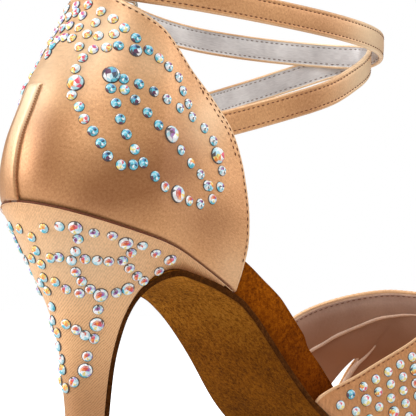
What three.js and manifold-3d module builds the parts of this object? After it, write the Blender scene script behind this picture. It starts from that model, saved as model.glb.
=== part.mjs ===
// High-heeled ballroom dance sandal for a left foot, standing empty on its sole.
// Millimetres. +X points to the toe, +Y to the outer side of the foot, +Z up.
// The origin lies on the floor under the middle of the shoe's box.

import * as THREE from 'three';
import { mergeVertices } from 'three/addons/utils/BufferGeometryUtils.js';
import Module from 'manifold-3d';

// Driving sizes
const SOLE_LENGTH = 238;        // along the feather line, from the back of the seat to the toe
const SEAT_HEIGHT = 75.3;       // feather line above the floor at the back of the seat
const SEAT_WIDTH = 53.4;        // widest part of the heel seat
const SEAT_DEPTH = 33;          // from the back of the seat to its widest part
const WAIST_WIDTH = 45.4;
const BALL_WIDTH = 74;
const OUTSOLE_THICKNESS = 1.8;
const INSOLE_EDGE = 11;         // height of the wrapped side of the insole at the waist
const INSOLE_FORE = 3.6;        // its height under the ball and in the heel seat
const INSOLE_PLAY = 0.75;       // more room round it than GAP inside the cup and the vamp
const INSOLE_TAPER = 0.8;       // its top is this much narrower there
const INSOLE_SET = 1.4;         // its side lies this far in from the sole's edge at the waist
const WALL = 1.8;               // satin, stiffener and lining together
const GAP = 0.3;                // between pieces that meet

const COUNTER_HEIGHT = 64.5;    // top of the heel cup above the seat at the back
const COUNTER_REACH = 67.3;     // foremost point of its wings ahead of the back of the seat

const HEEL_FOOT_WIDTH = 12;     // heel at the floor, across
const HEEL_BACK_FOOT = 22.9;    // back of the heel at the floor, ahead of the back of the seat
const BREAST_FORWARD = 31;      // front face of the heel column
const ARCH_HEIGHT = 58.1;       // crown of the arch between breast and sole
const TIP_HEIGHT = 6;           // replaceable top piece
const BREAST_SET = 0.4;         // the suede lies this far in from the heel's edges

const INSTEP_HEIGHT = 100;      // foot form above the feather line at the back of the vamp

const STRAP_WIDTH = 8;
const STRAP_THICKNESS = 1.5;
const LOOP_FRONT = 131.6;       // foremost point of the ankle straps
const STRAP_STAND_OFF = 3.0;    // the outer strap stands this far off the inner one at the front
const LOOP_WIDTH = 45;
const STRAP_LOW = 101;          // middle of a strap where it leaves the heel cup
const STRAP_CROSS = 132.5;      // middle of the straps where they cross
const STRAP_BACK = 141;         // middle of the strap at the back
const STRAP_JOIN = 0.2;         // the two straps are sewn into one another by this much

const BACK_STRIP_WIDTH = 5.6;
const BACK_STRIP_HEIGHT = 34;
const BACK_STRIP_THICKNESS = 1;

const BUCKLE_LENGTH = 13;
const BUCKLE_HEIGHT = 13.6;
const BUCKLE_WIRE = 1.8;
const BUCKLE_CORNER = 2.4;
const BUCKLE_STAND = 0.6;       // off the strap's face
const BUCKLE_TURN = -120;       // degrees round the ankle from the front, minus is the outer side
const BUCKLE_BACK = 0.5;        // its height, from STRAP_CROSS at 0 to STRAP_BACK at 1

// Slope of the feather line, downward and in degrees, along the sole
const PITCH = [
  { at: 0.000, slope: 17 }, { at: 0.059, slope: 16 }, { at: 0.126, slope: 14 },
  { at: 0.160, slope: 17 }, { at: 0.202, slope: 25 }, { at: 0.244, slope: 29 },
  { at: 0.286, slope: 32 }, { at: 0.336, slope: 45 }, { at: 0.441, slope: 47 },
  { at: 0.492, slope: 38 }, { at: 0.534, slope: 29.5 }, { at: 0.580, slope: 20.5 },
  { at: 0.630, slope: 12 }, { at: 0.685, slope: 4 }, { at: 0.723, slope: 0 },
  { at: 0.730, slope: 0 }, { at: 0.813, slope: 0 }, { at: 0.820, slope: 0 },
  { at: 1.000, slope: -8 },
];

// Shares of the sole's length between which the insole's side is tall, and between which
// it isn't covered by the cup or the vamp
const TALL_SIDE = { start: 0.11, full: 0.27, end: 0.44, none: 0.62 };
const BARE_SIDE = { start: 0.305, full: 0.345, end: 0.395, none: 0.425 };

// Outline of the sole ahead of the seat: half width as a share of the ball or
// waist width, and the middle line's offset to the outer side as a share of the ball width
const OUTLINE = [
  { at: 0.139, waist: 0.588, ball: 0.000, middle: -0.015 },
  { at: 0.200, waist: 0.560, ball: 0.000, middle: -0.004 },
  { at: 0.265, waist: 0.524, ball: 0.000, middle: -0.017 },
  { at: 0.330, waist: 0.500, ball: 0.000, middle: -0.028 },
  { at: 0.395, waist: 0.500, ball: 0.000, middle: -0.026 },
  { at: 0.455, waist: 0.415, ball: 0.074, middle: -0.018 },
  { at: 0.517, waist: 0.240, ball: 0.216, middle: -0.006 },
  { at: 0.590, waist: 0.060, ball: 0.376, middle: 0.004 },
  { at: 0.660, waist: 0.000, ball: 0.466, middle: 0.011 },
  { at: 0.725, waist: 0.000, ball: 0.492, middle: 0.001 },
  { at: 0.795, waist: 0.000, ball: 0.485, middle: -0.023 },
  { at: 0.866, waist: 0.000, ball: 0.449, middle: -0.052 },
  { at: 1.000, waist: 0.000, ball: 0.380, middle: -0.112 },
];
const TOE_ROUND = 0.866;        // from here on the outline closes as a rounded toe

// Heel cup: how its back leans forward and its sides draw in with height
const CUP = [
  { rise: 0.00, lean: 0.000, width: 1.00 }, { rise: 0.12, lean: -0.019, width: 1.015 },
  { rise: 0.28, lean: 0.000, width: 0.99 }, { rise: 0.43, lean: 0.053, width: 0.95 },
  { rise: 0.55, lean: 0.100, width: 0.90 }, { rise: 0.70, lean: 0.180, width: 0.83 },
  { rise: 0.83, lean: 0.252, width: 0.75 }, { rise: 1.00, lean: 0.320, width: 0.65 },
  { rise: 1.30, lean: 0.400, width: 0.52 },
];

// Edge of the heel cup seen from the side, from its top at the back to the wing's tip:
// forward as a share of the reach, height as a share of the cup's height
const CUP_EDGE = [
  { forward: 0.300, height: 0.958 }, { forward: 0.318, height: 0.955 },
  { forward: 0.345, height: 0.941 }, { forward: 0.385, height: 0.912 },
  { forward: 0.464, height: 0.868 },
  { forward: 0.546, height: 0.815 }, { forward: 0.624, height: 0.732 },
  { forward: 0.700, height: 0.645 }, { forward: 0.785, height: 0.565 },
  { forward: 0.856, height: 0.483 }, { forward: 0.922, height: 0.397 },
  { forward: 0.972, height: 0.260 }, { forward: 0.993, height: 0.138 },
  { forward: 1.005, height: 0.000 }, { forward: 0.998, height: -0.130 },
  { forward: 0.968, height: -0.240 }, { forward: 0.932, height: -0.352 },
];

// Share of the sole's length at which the heel's front tip ends under the arch
const HEEL_END = 0.264;

// Heel, in rings that follow the feather line and flatten toward the floor: down is the
// share of the way to the floor, back the share of the foot's setback, and length and
// width are shares of the seat's, with the foot's own width left at the floor
const HEEL = [
  { down: -0.10, back: 0.000, length: 1.000, width: 1.000 },
  { down: 0.000, back: 0.000, length: 1.000, width: 1.000 },
  { down: 0.033, back: 0.048, length: 0.985, width: 0.940 },
  { down: 0.064, back: 0.100, length: 0.960, width: 0.850 },
  { down: 0.125, back: 0.196, length: 0.900, width: 0.705 },
  { down: 0.203, back: 0.328, length: 0.800, width: 0.560 },
  { down: 0.279, back: 0.459, length: 0.680, width: 0.435 },
  { down: 0.360, back: 0.612, length: 0.550, width: 0.305 },
  { down: 0.446, back: 0.729, length: 0.440, width: 0.190 },
  { down: 0.540, back: 0.820, length: 0.360, width: 0.100 },
  { down: 0.650, back: 0.882, length: 0.315, width: 0.045 },
  { down: 0.803, back: 0.965, length: 0.285, width: 0.010 },
  { down: 1.000, back: 1.000, length: 0.270, width: 0.000 },
];

// Arch of the suede from the breast to the waist: height as a share of the arch's,
// forward of the breast in shares of the arch's height
const ARCH = [
  { forward: 0.000, height: 0.640 }, { forward: 0.006, height: 0.770 },
  { forward: 0.024, height: 0.855 }, { forward: 0.060, height: 0.925 },
  { forward: 0.112, height: 0.977 }, { forward: 0.180, height: 1.000 },
];
// Ahead of the crown the suede runs this far below the feather line, in millimetres
// for each place along the sole
const LIP = [
  { at: 0.205, drop: 3.9 }, { at: 0.238, drop: 2.1 }, { at: 0.262, drop: 1.1 },
];

// Foot form under the vamp: height as a share of the instep height, bulge as the half
// width's share of the sole's own; square is below 1 where the section is squarer than an oval
const FOOT = [
  { forward: 0.40, height: 1.00, bulge: 1.06, square: 0.82 },
  { forward: 0.52, height: 0.93, bulge: 1.10, square: 0.82 },
  { forward: 0.60, height: 0.83, bulge: 1.11, square: 0.84 },
  { forward: 0.67, height: 0.72, bulge: 1.10, square: 0.88 },
  { forward: 0.74, height: 0.59, bulge: 1.06, square: 0.93 },
  { forward: 0.81, height: 0.46, bulge: 1.04, square: 0.94 },
  { forward: 0.88, height: 0.34, bulge: 1.02, square: 0.92 },
  { forward: 0.95, height: 0.26, bulge: 1.01, square: 0.90 },
  { forward: 1.00, height: 0.22, bulge: 1.00, square: 0.90 },
];
// Rear edge of the vamp, from the inner side over the instep to the outer side:
// turn as a share of the half turn, forward as a share of the sole's plan length
const VAMP_REAR = [
  { turn: 0.00, forward: 0.436 }, { turn: 0.05, forward: 0.510 },
  { turn: 0.12, forward: 0.590 }, { turn: 0.22, forward: 0.667 },
  { turn: 0.36, forward: 0.735 }, { turn: 0.50, forward: 0.762 },
  { turn: 0.62, forward: 0.739 }, { turn: 0.74, forward: 0.690 },
  { turn: 0.86, forward: 0.607 }, { turn: 1.00, forward: 0.494 },
];
// Slit between the two rear bands on the outer side: forward as a share of the sole's
// plan length, height as a share of the instep height
const VAMP_SLIT = [
  { forward: 0.757, height: 0.345 }, { forward: 0.644, height: 0.02 },
  { forward: 0.600, height: -0.10 }, { forward: 0.685, height: -0.10 },
  { forward: 0.695, height: 0.06 },
];
// Front edge of the vamp, at the open toe
const VAMP_FRONT = [
  { turn: 0.00, forward: 0.945 }, { turn: 0.20, forward: 0.930 },
  { turn: 0.40, forward: 0.908 }, { turn: 0.60, forward: 0.893 },
  { turn: 0.80, forward: 0.890 }, { turn: 1.00, forward: 0.898 },
];

// Each strap round the ankle: turn in degrees from the front, positive on the inner
// side; rise 0 is the low end and 1 the crossing; back 1 is the height at the back; seat
// is 1 where the strap lies inside the heel cup; off is 1 where it stands off the other one
const STRAP_INNER = [
  { turn: 121, rise: 0.00, back: 0.00, seat: 1.0, off: 0 },
  { turn: 109, rise: 0.04, back: 0.00, seat: 1.0, off: 0 },
  { turn: 97, rise: 0.14, back: 0.00, seat: 0.7, off: 0 },
  { turn: 82, rise: 0.29, back: 0.00, seat: 0.3, off: 0 },
  { turn: 64, rise: 0.48, back: 0.00, seat: 0.0, off: 0 },
  { turn: 45, rise: 0.70, back: 0.00, seat: 0.0, off: 0 },
  { turn: 20, rise: 0.92, back: 0.00, seat: 0.0, off: 0 },
  { turn: 0, rise: 0.98, back: 0.00, seat: 0.0, off: 0 },
  { turn: -30, rise: 1.00, back: 0.00, seat: 0.0, off: 0 },
  { turn: -90, rise: 1.00, back: 0.10, seat: 0.0, off: 0 },
  { turn: -128, rise: 1.00, back: 0.55, seat: 0.0, off: 0 },
];
const STRAP_OUTER = [
  { turn: -121, rise: 0.06, back: 0.00, seat: 1.0, off: 0 },
  { turn: -109, rise: 0.12, back: 0.00, seat: 1.0, off: 0 },
  { turn: -97, rise: 0.24, back: 0.00, seat: 0.7, off: 0 },
  { turn: -82, rise: 0.39, back: 0.00, seat: 0.3, off: 0 },
  { turn: -64, rise: 0.56, back: 0.00, seat: 0.0, off: 0 },
  { turn: -48, rise: 0.72, back: 0.00, seat: 0.0, off: 0 },
  { turn: -28, rise: 0.88, back: 0.00, seat: 0.0, off: 0 },
  { turn: 0, rise: 1.00, back: 0.06, seat: 0.0, off: 1 },
  { turn: 30, rise: 1.00, back: 0.32, seat: 0.0, off: 0.7 },
  { turn: 90, rise: 1.00, back: 0.52, seat: 0.0, off: 0 },
  { turn: 140, rise: 1.00, back: 0.76, seat: 0.0, off: 0 },
  { turn: 180, rise: 1.00, back: 1.00, seat: 0.0, off: 0 },
  { turn: 215, rise: 1.00, back: 0.88, seat: 0.0, off: 0 },
  { turn: 245, rise: 1.00, back: 0.45, seat: 0.0, off: 0 },
];

const mm = (x, y, z) => new THREE.Vector3(x, y, z);
const radians = THREE.MathUtils.degToRad;
const mix = THREE.MathUtils.lerp;

// A smooth curve through one column of a table
function track(rows, key, column) {
  const last = rows.length - 1;
  const grade = rows.map((row, i) => {
    const a = rows[Math.max(i - 1, 0)];
    const b = rows[Math.min(i + 1, last)];
    return (b[column] - a[column]) / (b[key] - a[key]);
  });
  return (value) => {
    let i = 0;
    while (i < last - 1 && value > rows[i + 1][key]) i += 1;
    const span = rows[i + 1][key] - rows[i][key];
    const t = THREE.MathUtils.clamp((value - rows[i][key]) / span, 0, 1);
    const rest = 1 - t;
    const start = rows[i][column] * (1 + 2 * t) * rest * rest;
    const end = rows[i + 1][column] * (3 - 2 * t) * t * t;
    return start + end + span * t * rest * (grade[i] * rest - grade[i + 1] * t);
  };
}

// Parameter at which a rising function reaches a value
function solve(rising, target, low, high) {
  for (let i = 0; i < 40; i += 1) {
    const middle = (low + high) / 2;
    if (rising(middle) < target) low = middle;
    else high = middle;
  }
  return (low + high) / 2;
}

// Feather line: the side view of the sole
const slopeAt = track(PITCH, 'at', 'slope');
const LINE_STEPS = 476;

function traceLine(factor) {
  const step = SOLE_LENGTH / LINE_STEPS;
  const line = [{ x: 0, z: 0, slope: radians(slopeAt(0)) * factor }];
  for (let i = 1; i <= LINE_STEPS; i += 1) {
    const rate = slopeAt((i - 0.5) / LINE_STEPS);
    const slope = radians(rate) * (rate > 0 ? factor : 1);
    const before = line[i - 1];
    line.push({ x: before.x + Math.cos(slope) * step, z: before.z - Math.sin(slope) * step, slope });
  }
  return line;
}

const fullDrop = SEAT_HEIGHT - OUTSOLE_THICKNESS;
const lowest = (line) => -Math.min(...line.map((point) => point.z));
const steepness = solve((factor) => lowest(traceLine(factor)), fullDrop, 0.2, 1.8);
const FEATHER = traceLine(steepness);
const PLAN_LENGTH = FEATHER[LINE_STEPS].x;

function feather(along) {
  const place = THREE.MathUtils.clamp(along / SOLE_LENGTH, 0, 1) * LINE_STEPS;
  const i = Math.min(Math.floor(place), LINE_STEPS - 1);
  const t = place - i;
  const a = FEATHER[i];
  const b = FEATHER[i + 1];
  return { x: mix(a.x, b.x, t), z: SEAT_HEIGHT + mix(a.z, b.z, t), slope: mix(a.slope, b.slope, t) };
}

const alongAt = (x) => solve((along) => feather(along).x, x, 0, SOLE_LENGTH);

// Outline of the sole: half width and middle line
const waistShare = track(OUTLINE, 'at', 'waist');
const ballShare = track(OUTLINE, 'at', 'ball');
const middleShare = track(OUTLINE, 'at', 'middle');

function outline(along) {
  const at = along / SOLE_LENGTH;
  const middle = middleShare(at) * BALL_WIDTH;
  if (along < SEAT_DEPTH) {
    const t = 1 - along / SEAT_DEPTH;
    return { half: SEAT_WIDTH / 2 * Math.sqrt(Math.max(1 - t * t, 0)), middle: middle * (1 - t) };
  }
  const free = waistShare(at) * WAIST_WIDTH + ballShare(at) * BALL_WIDTH;
  const blend = THREE.MathUtils.smoothstep(along, SEAT_DEPTH, SEAT_DEPTH * 1.5);
  const half = mix(SEAT_WIDTH / 2, free, blend);
  if (at <= TOE_ROUND) return { half, middle };
  const t = (at - TOE_ROUND) / (1 - TOE_ROUND);
  return { half: half * Math.pow(Math.max(1 - Math.pow(t, 2.2), 0), 1 / 2.2), middle };
}

// Places along the sole, closer together where the outline rounds off
function stations(from, to, count) {
  return Array.from({ length: count + 1 }, (_, i) => {
    const t = (1 - Math.cos(Math.PI * i / count)) / 2;
    return mix(from, to, t);
  });
}

// Closed solid between two sheets of points with the same rows and columns
function slab(front, back) {
  const rows = front.length;
  const columns = front[0].length;
  const positions = [];
  const index = [];
  for (const sheet of [front, back]) {
    for (const row of sheet) {
      for (const point of row) positions.push(point.x, point.y, point.z);
    }
  }
  const at = (sheet, i, j) => sheet * rows * columns + i * columns + j;
  const quad = (a, b, c, d) => index.push(a, b, c, a, c, d);
  for (let i = 0; i < rows - 1; i += 1) {
    for (let j = 0; j < columns - 1; j += 1) {
      quad(at(0, i, j), at(0, i, j + 1), at(0, i + 1, j + 1), at(0, i + 1, j));
      quad(at(1, i, j), at(1, i + 1, j), at(1, i + 1, j + 1), at(1, i, j + 1));
    }
    quad(at(0, i, 0), at(0, i + 1, 0), at(1, i + 1, 0), at(1, i, 0));
    quad(at(0, i + 1, columns - 1), at(0, i, columns - 1),
      at(1, i, columns - 1), at(1, i + 1, columns - 1));
  }
  for (let j = 0; j < columns - 1; j += 1) {
    quad(at(0, 0, j + 1), at(0, 0, j), at(1, 0, j), at(1, 0, j + 1));
    quad(at(0, rows - 1, j), at(0, rows - 1, j + 1), at(1, rows - 1, j + 1), at(1, rows - 1, j));
  }
  return outward(positions, index);
}

// Closed solid through rings of points, with flat ends
function loft(rings) {
  const count = rings[0].length;
  const positions = rings.flat().flatMap((point) => [point.x, point.y, point.z]);
  const index = [];
  for (let i = 0; i < rings.length - 1; i += 1) {
    for (let j = 0; j < count; j += 1) {
      const a = i * count + j;
      const b = i * count + (j + 1) % count;
      index.push(a, b, b + count, a, b + count, a + count);
    }
  }
  for (const [ring, flip] of [[0, true], [rings.length - 1, false]]) {
    const middle = rings[ring].reduce((sum, point) => sum.add(point), mm(0, 0, 0)).divideScalar(count);
    const centre = positions.length / 3;
    positions.push(middle.x, middle.y, middle.z);
    for (let j = 0; j < count; j += 1) {
      const a = ring * count + j;
      const b = ring * count + (j + 1) % count;
      index.push(...(flip ? [centre, b, a] : [centre, a, b]));
    }
  }
  return outward(positions, index);
}

// Geometry whose faces point out, whichever way its rows were walked
function outward(positions, index) {
  let volume = 0;
  const corner = (i) => mm(positions[3 * i], positions[3 * i + 1], positions[3 * i + 2]);
  for (let i = 0; i < index.length; i += 3) {
    const [a, b, c] = [corner(index[i]), corner(index[i + 1]), corner(index[i + 2])];
    volume += a.dot(b.cross(c));
  }
  if (volume < 0) {
    for (let i = 0; i < index.length; i += 3) [index[i], index[i + 1]] = [index[i + 1], index[i]];
  }
  const geometry = new THREE.BufferGeometry();
  geometry.setAttribute('position', new THREE.Float32BufferAttribute(positions, 3));
  geometry.setIndex(index);
  return geometry;
}

// Booleans
const wasm = await Module();
wasm.setup();

function solid(geometry) {
  const plain = geometry.clone();
  plain.deleteAttribute('normal');
  plain.deleteAttribute('uv');
  const merged = mergeVertices(plain, 1e-4);
  return new wasm.Manifold(new wasm.Mesh({
    numProp: 3,
    vertProperties: new Float32Array(merged.attributes.position.array),
    triVerts: new Uint32Array(merged.index.array),
  }));
}

function geometryOf(manifold) {
  const mesh = manifold.getMesh();
  const geometry = new THREE.BufferGeometry();
  const values = new THREE.Float32BufferAttribute(Array.from(mesh.vertProperties), 3);
  geometry.setAttribute('position', values);
  geometry.setIndex(Array.from(mesh.triVerts));
  return geometry;
}

// Side-view outline of points {x, z}, extruded across the shoe
function acrossShoe(points, from, to) {
  const shape = new THREE.Shape(points.map((point) => new THREE.Vector2(point.x, point.z)));
  const geometry = new THREE.ExtrudeGeometry(shape, { depth: to - from, bevelEnabled: false });
  geometry.rotateX(Math.PI / 2);
  geometry.translate(0, to, 0);
  return geometry;
}

// Suede outsole: one piece from the heel's breast over the arch to the toe
const crownForward = BREAST_FORWARD + ARCH[ARCH.length - 1].forward * ARCH_HEIGHT;

function outsolePath() {
  const path = [
    { x: BREAST_FORWARD, z: TIP_HEIGHT + GAP },
    { x: BREAST_FORWARD, z: ARCH_HEIGHT * 0.35 },
  ];
  for (const row of ARCH) {
    path.push({ x: BREAST_FORWARD + row.forward * ARCH_HEIGHT, z: row.height * ARCH_HEIGHT });
  }
  for (const row of LIP) {
    const place = feather(row.at * SOLE_LENGTH);
    path.push({ x: place.x, z: place.z - row.drop });
  }
  return path;
}

const breastCurve = new THREE.CatmullRomCurve3(
  [...outsolePath(), feather(0.295 * SOLE_LENGTH), feather(0.32 * SOLE_LENGTH)]
    .map((p) => mm(p.x, 0, p.z)),
  false, 'centripetal');

// Half width of the heel's front face at a height
const heelWidth = track(HEEL, 'down', 'width');
const breastTop = feather(alongAt(BREAST_FORWARD)).z;
const heelHalf = (z) => mix(HEEL_FOOT_WIDTH, SEAT_WIDTH, heelWidth(1 - z / breastTop)) / 2;

function outsoleStations() {
  const list = [];
  const rearCount = 26;
  for (let i = 0; i <= rearCount; i += 1) {
    const point = breastCurve.getPointAt(i / rearCount);
    const tangent = breastCurve.getTangentAt(i / rearCount);
    const along = alongAt(point.x);
    const edge = outline(along);
    const open = THREE.MathUtils.smoothstep(point.x, BREAST_FORWARD, crownForward + 4);
    list.push({
      x: point.x, z: point.z, down: mm(tangent.z, 0, -tangent.x),
      half: mix(heelHalf(point.z) - BREAST_SET, edge.half, open), middle: edge.middle * open,
    });
  }
  const start = alongAt(list[rearCount].x) + 4;
  for (const along of stations(start, SOLE_LENGTH - 0.05, 30)) {
    const place = feather(along);
    list.push({
      x: place.x, z: place.z, down: mm(-Math.sin(place.slope), 0, -Math.cos(place.slope)),
      ...outline(along),
    });
  }
  return list;
}

function makeOutsole() {
  const columns = 6;
  const top = [];
  const under = [];
  for (const place of outsoleStations()) {
    const across = Array.from({ length: columns + 1 }, (_, j) => 2 * j / columns - 1);
    top.push(across.map((t) => mm(place.x, place.middle + t * place.half, place.z)));
    under.push(across.map((t) => {
      const point = mm(place.x, place.middle + t * place.half, place.z);
      return point.addScaledVector(place.down, OUTSOLE_THICKNESS);
    }));
  }
  return slab(top, under);
}

// Insole: board and padded sock, with its wrapped side showing at the waist
const insoleClearance = WALL + GAP + INSOLE_PLAY;

// 1 inside a span of the sole, 0 outside it
function within(span, along) {
  const at = along / SOLE_LENGTH;
  const rise = THREE.MathUtils.smoothstep(at, span.start, span.full);
  return rise * (1 - THREE.MathUtils.smoothstep(at, span.end, span.none));
}

function makeInsole() {
  const columns = 8;
  const top = [];
  const under = [];
  const reach = SOLE_LENGTH / 2;
  for (const along of stations(insoleClearance, SOLE_LENGTH - insoleClearance, 48)) {
    const place = feather(along);
    const edge = outline(reach * (1 + (along - reach) / (reach - insoleClearance)));
    const bare = within(BARE_SIDE, along);
    const half = Math.max(edge.half - mix(insoleClearance, INSOLE_SET, bare), 0.02);
    const normal = mm(Math.sin(place.slope), 0, Math.cos(place.slope));
    const tall = within(TALL_SIDE, along);
    const height = mix(INSOLE_FORE, INSOLE_EDGE, tall);
    const crown = mix(-0.4, 1.2, tall);
    const across = Array.from({ length: columns + 1 }, (_, j) => 2 * j / columns - 1);
    const upper = Math.max(half - INSOLE_TAPER * (1 - bare), 0.01);
    const at = (y, rise) => mm(place.x, edge.middle + y, place.z).addScaledVector(normal, rise);
    under.push(across.map((t) => at(t * half, GAP)));
    top.push(across.map((t) => at(t * upper, GAP + height + crown * (1 - t * t))));
  }
  return slab(top, under);
}

// Heel cup surface: g runs from 0 at the back seam, 1 at the widest part of the seat,
// and on along the wings; side is -1 on the inner and 1 on the outer side
const cupLean = track(CUP, 'rise', 'lean');
const cupWidth = track(CUP, 'rise', 'width');

function cupFoot(g) {
  const quarter = Math.PI / 2;
  return g < 1 ? SEAT_DEPTH * (1 - Math.cos(g * quarter)) : SEAT_DEPTH * (1 + (g - 1) * quarter);
}

function cup(g, side, rise) {
  const along = Math.min(cupFoot(g), SOLE_LENGTH * 0.9);
  const place = feather(along);
  const edge = outline(along);
  const share = rise / COUNTER_HEIGHT;
  const sideLean = mix(1, 0.25, THREE.MathUtils.smoothstep(g, 0, 1.2));
  const x = place.x + cupLean(share) * COUNTER_HEIGHT * sideLean;
  const y = side * edge.half * cupWidth(share) + edge.middle;
  return mm(x, y, place.z + rise);
}

function cupNormal(g, side, rise) {
  const small = 0.02;
  const at = (dg, dr) => cup(Math.max(g + dg, 0), side, rise + dr);
  const alongG = at(small, 0).sub(at(-small, 0));
  if (g < small) alongG.set(0, side, 0);
  const up = at(0, 0.5).sub(at(0, -0.5));
  const normal = alongG.cross(up).normalize();
  if (normal.y * side < 0 || (g < 0.5 && normal.x > 0)) normal.negate();
  return normal;
}

// Place on the cup's surface that is seen from the side at x and z
function cupAt(x, z, side) {
  const riseOf = (g) => z - feather(cupFoot(g)).z;
  const g = solve((value) => cup(value, side, riseOf(value)).x, x, 0, 2.6);
  return { g, rise: riseOf(g) };
}

const edgeForward = track(CUP_EDGE.map((row, i) => ({ ...row, i })), 'i', 'forward');
const edgeHeight = track(CUP_EDGE.map((row, i) => ({ ...row, i })), 'i', 'height');

// Edge of the cup: t is 0 at the back and 1 at the wing's tip
function cupEdge(t, side) {
  const i = t * (CUP_EDGE.length - 1);
  const x = edgeForward(i) * COUNTER_REACH;
  const z = SEAT_HEIGHT + edgeHeight(i) * COUNTER_HEIGHT;
  if (t === 0) return { g: 0, rise: z - SEAT_HEIGHT };
  return cupAt(x, z, side);
}

function makeCounter() {
  const half = 26;
  const levels = 12;
  const tip = cupAt(CUP_EDGE[CUP_EDGE.length - 1].forward * COUNTER_REACH,
    SEAT_HEIGHT + CUP_EDGE[CUP_EDGE.length - 1].height * COUNTER_HEIGHT, -1);
  const outer = [];
  const inner = [];
  for (let i = -half; i <= half; i += 1) {
    const side = i < 0 ? -1 : 1;
    const t = Math.abs(i) / half;
    const edge = cupEdge(t, side);
    const footG = t * tip.g;
    const rowOut = [];
    const rowIn = [];
    for (let j = 0; j <= levels; j += 1) {
      const v = j / levels;
      const g = mix(footG, edge.g, v);
      const rise = mix(GAP, Math.max(edge.rise, GAP + 1.2), v);
      const point = cup(g, side, rise);
      rowOut.push(point);
      rowIn.push(point.clone().addScaledVector(cupNormal(g, side, rise), -WALL));
    }
    outer.push(rowOut);
    inner.push(rowIn);
  }
  return slab(outer, inner);
}

// Strip that covers the back seam of the cup
function makeBackStrip() {
  const halfG = BACK_STRIP_WIDTH / 2 / (SEAT_WIDTH / 2 * Math.PI / 2);
  const outer = [];
  const inner = [];
  for (let i = -3; i <= 3; i += 1) {
    const side = i < 0 ? -1 : 1;
    const g = Math.abs(i) / 3 * halfG;
    const rowOut = [];
    const rowIn = [];
    for (let j = 0; j <= 8; j += 1) {
      const rise = mix(GAP, BACK_STRIP_HEIGHT, j / 8);
      const point = cup(g, side, rise);
      const normal = cupNormal(g, side, rise);
      rowIn.push(point.clone().addScaledVector(normal, GAP));
      rowOut.push(point.clone().addScaledVector(normal, GAP + BACK_STRIP_THICKNESS));
    }
    outer.push(rowOut);
    inner.push(rowIn);
  }
  return slab(outer, inner);
}

// Heel: rings from the seat to the floor, cut by its side view
const heelEnd = HEEL_END * SOLE_LENGTH;

function heelRing(row) {
  const turns = 12;
  const sides = 5;
  const half = mix(HEEL_FOOT_WIDTH, SEAT_WIDTH, row.width) / SEAT_WIDTH;
  const near = [];
  for (let i = 0; i <= turns + sides; i += 1) {
    const quarter = i / turns * Math.PI / 2;
    const beyond = (i - turns) / sides;
    const along = i <= turns ? SEAT_DEPTH * (1 - Math.cos(quarter)) : mix(SEAT_DEPTH, heelEnd, beyond);
    const place = feather(along);
    const edge = outline(along);
    const x = row.back * HEEL_BACK_FOOT + place.x * row.length;
    near.push({
      x, half: edge.half * half, middle: edge.middle * row.width, z: mix(place.z, 0, row.down),
    });
  }
  const inner = near.map((p) => mm(p.x, p.middle - p.half, p.z)).reverse();
  const outer = near.slice(1).map((p) => mm(p.x, p.middle + p.half, p.z));
  return [...inner, ...outer];
}

function makeHeel() {
  const body = solid(loft(HEEL.map(heelRing)));
  const side = [];
  const steps = 24;
  for (let i = 0; i <= steps; i += 1) {
    const place = feather(heelEnd * i / steps);
    side.push({ x: place.x, z: place.z - GAP });
  }
  side.unshift({ x: -20, z: side[0].z });
  const reach = feather(heelEnd).x - 1;
  const thinnest = 0.5;
  const marks = 80;
  for (let i = marks; i >= 0; i -= 1) {
    const point = breastCurve.getPointAt(i / marks);
    const tangent = breastCurve.getTangentAt(i / marks);
    const place = { x: point.x - GAP * tangent.z, z: point.z + GAP * tangent.x };
    const room = feather(alongAt(place.x)).z - GAP - place.z;
    if (place.x < reach && room > thinnest) side.push(place);
  }
  side.push({ x: BREAST_FORWARD - GAP, z: TIP_HEIGHT + GAP });
  side.push({ x: -20, z: TIP_HEIGHT + GAP });
  return geometryOf(body.intersect(solid(acrossShoe(side, -60, 60))));
}

function makeHeelTip() {
  const front = BREAST_FORWARD + OUTSOLE_THICKNESS;
  const foot = heelRing(HEEL[HEEL.length - 1]).filter((point) => point.x < front - 0.2);
  const first = foot[0];
  const last = foot[foot.length - 1];
  const ring = [
    mm(front, first.y, 0), ...foot.map((point) => mm(point.x, point.y, 0)), mm(front, last.y, 0),
  ];
  return loft([ring, ring.map((point) => mm(point.x, point.y, TIP_HEIGHT))]);
}

// Vamp: a hollow arch over the forefoot, open behind, at the toe and underneath
const footHeight = track(FOOT, 'forward', 'height');
const footBulge = track(FOOT, 'forward', 'bulge');
const footSquare = track(FOOT, 'forward', 'square');
const vampRear = track(VAMP_REAR, 'turn', 'forward');
const vampFront = track(VAMP_FRONT, 'turn', 'forward');

function footPoint(x, turn, inward) {
  const along = alongAt(x);
  const place = feather(along);
  const edge = outline(along);
  const share = x / PLAN_LENGTH;
  const height = footHeight(share) * INSTEP_HEIGHT - inward;
  const angle = turn * Math.PI;
  const square = footSquare(share);
  const arch = Math.pow(Math.max(Math.sin(angle), 0), square);
  const low = Math.min(1, 2.2 * arch);
  const half = (edge.half - inward) * mix(1, footBulge(share), low * (1 - 0.5 * arch));
  const across = Math.sign(Math.cos(angle)) * Math.pow(Math.abs(Math.cos(angle)), square);
  return mm(x, edge.middle - across * half, place.z + GAP + height * arch);
}

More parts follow.
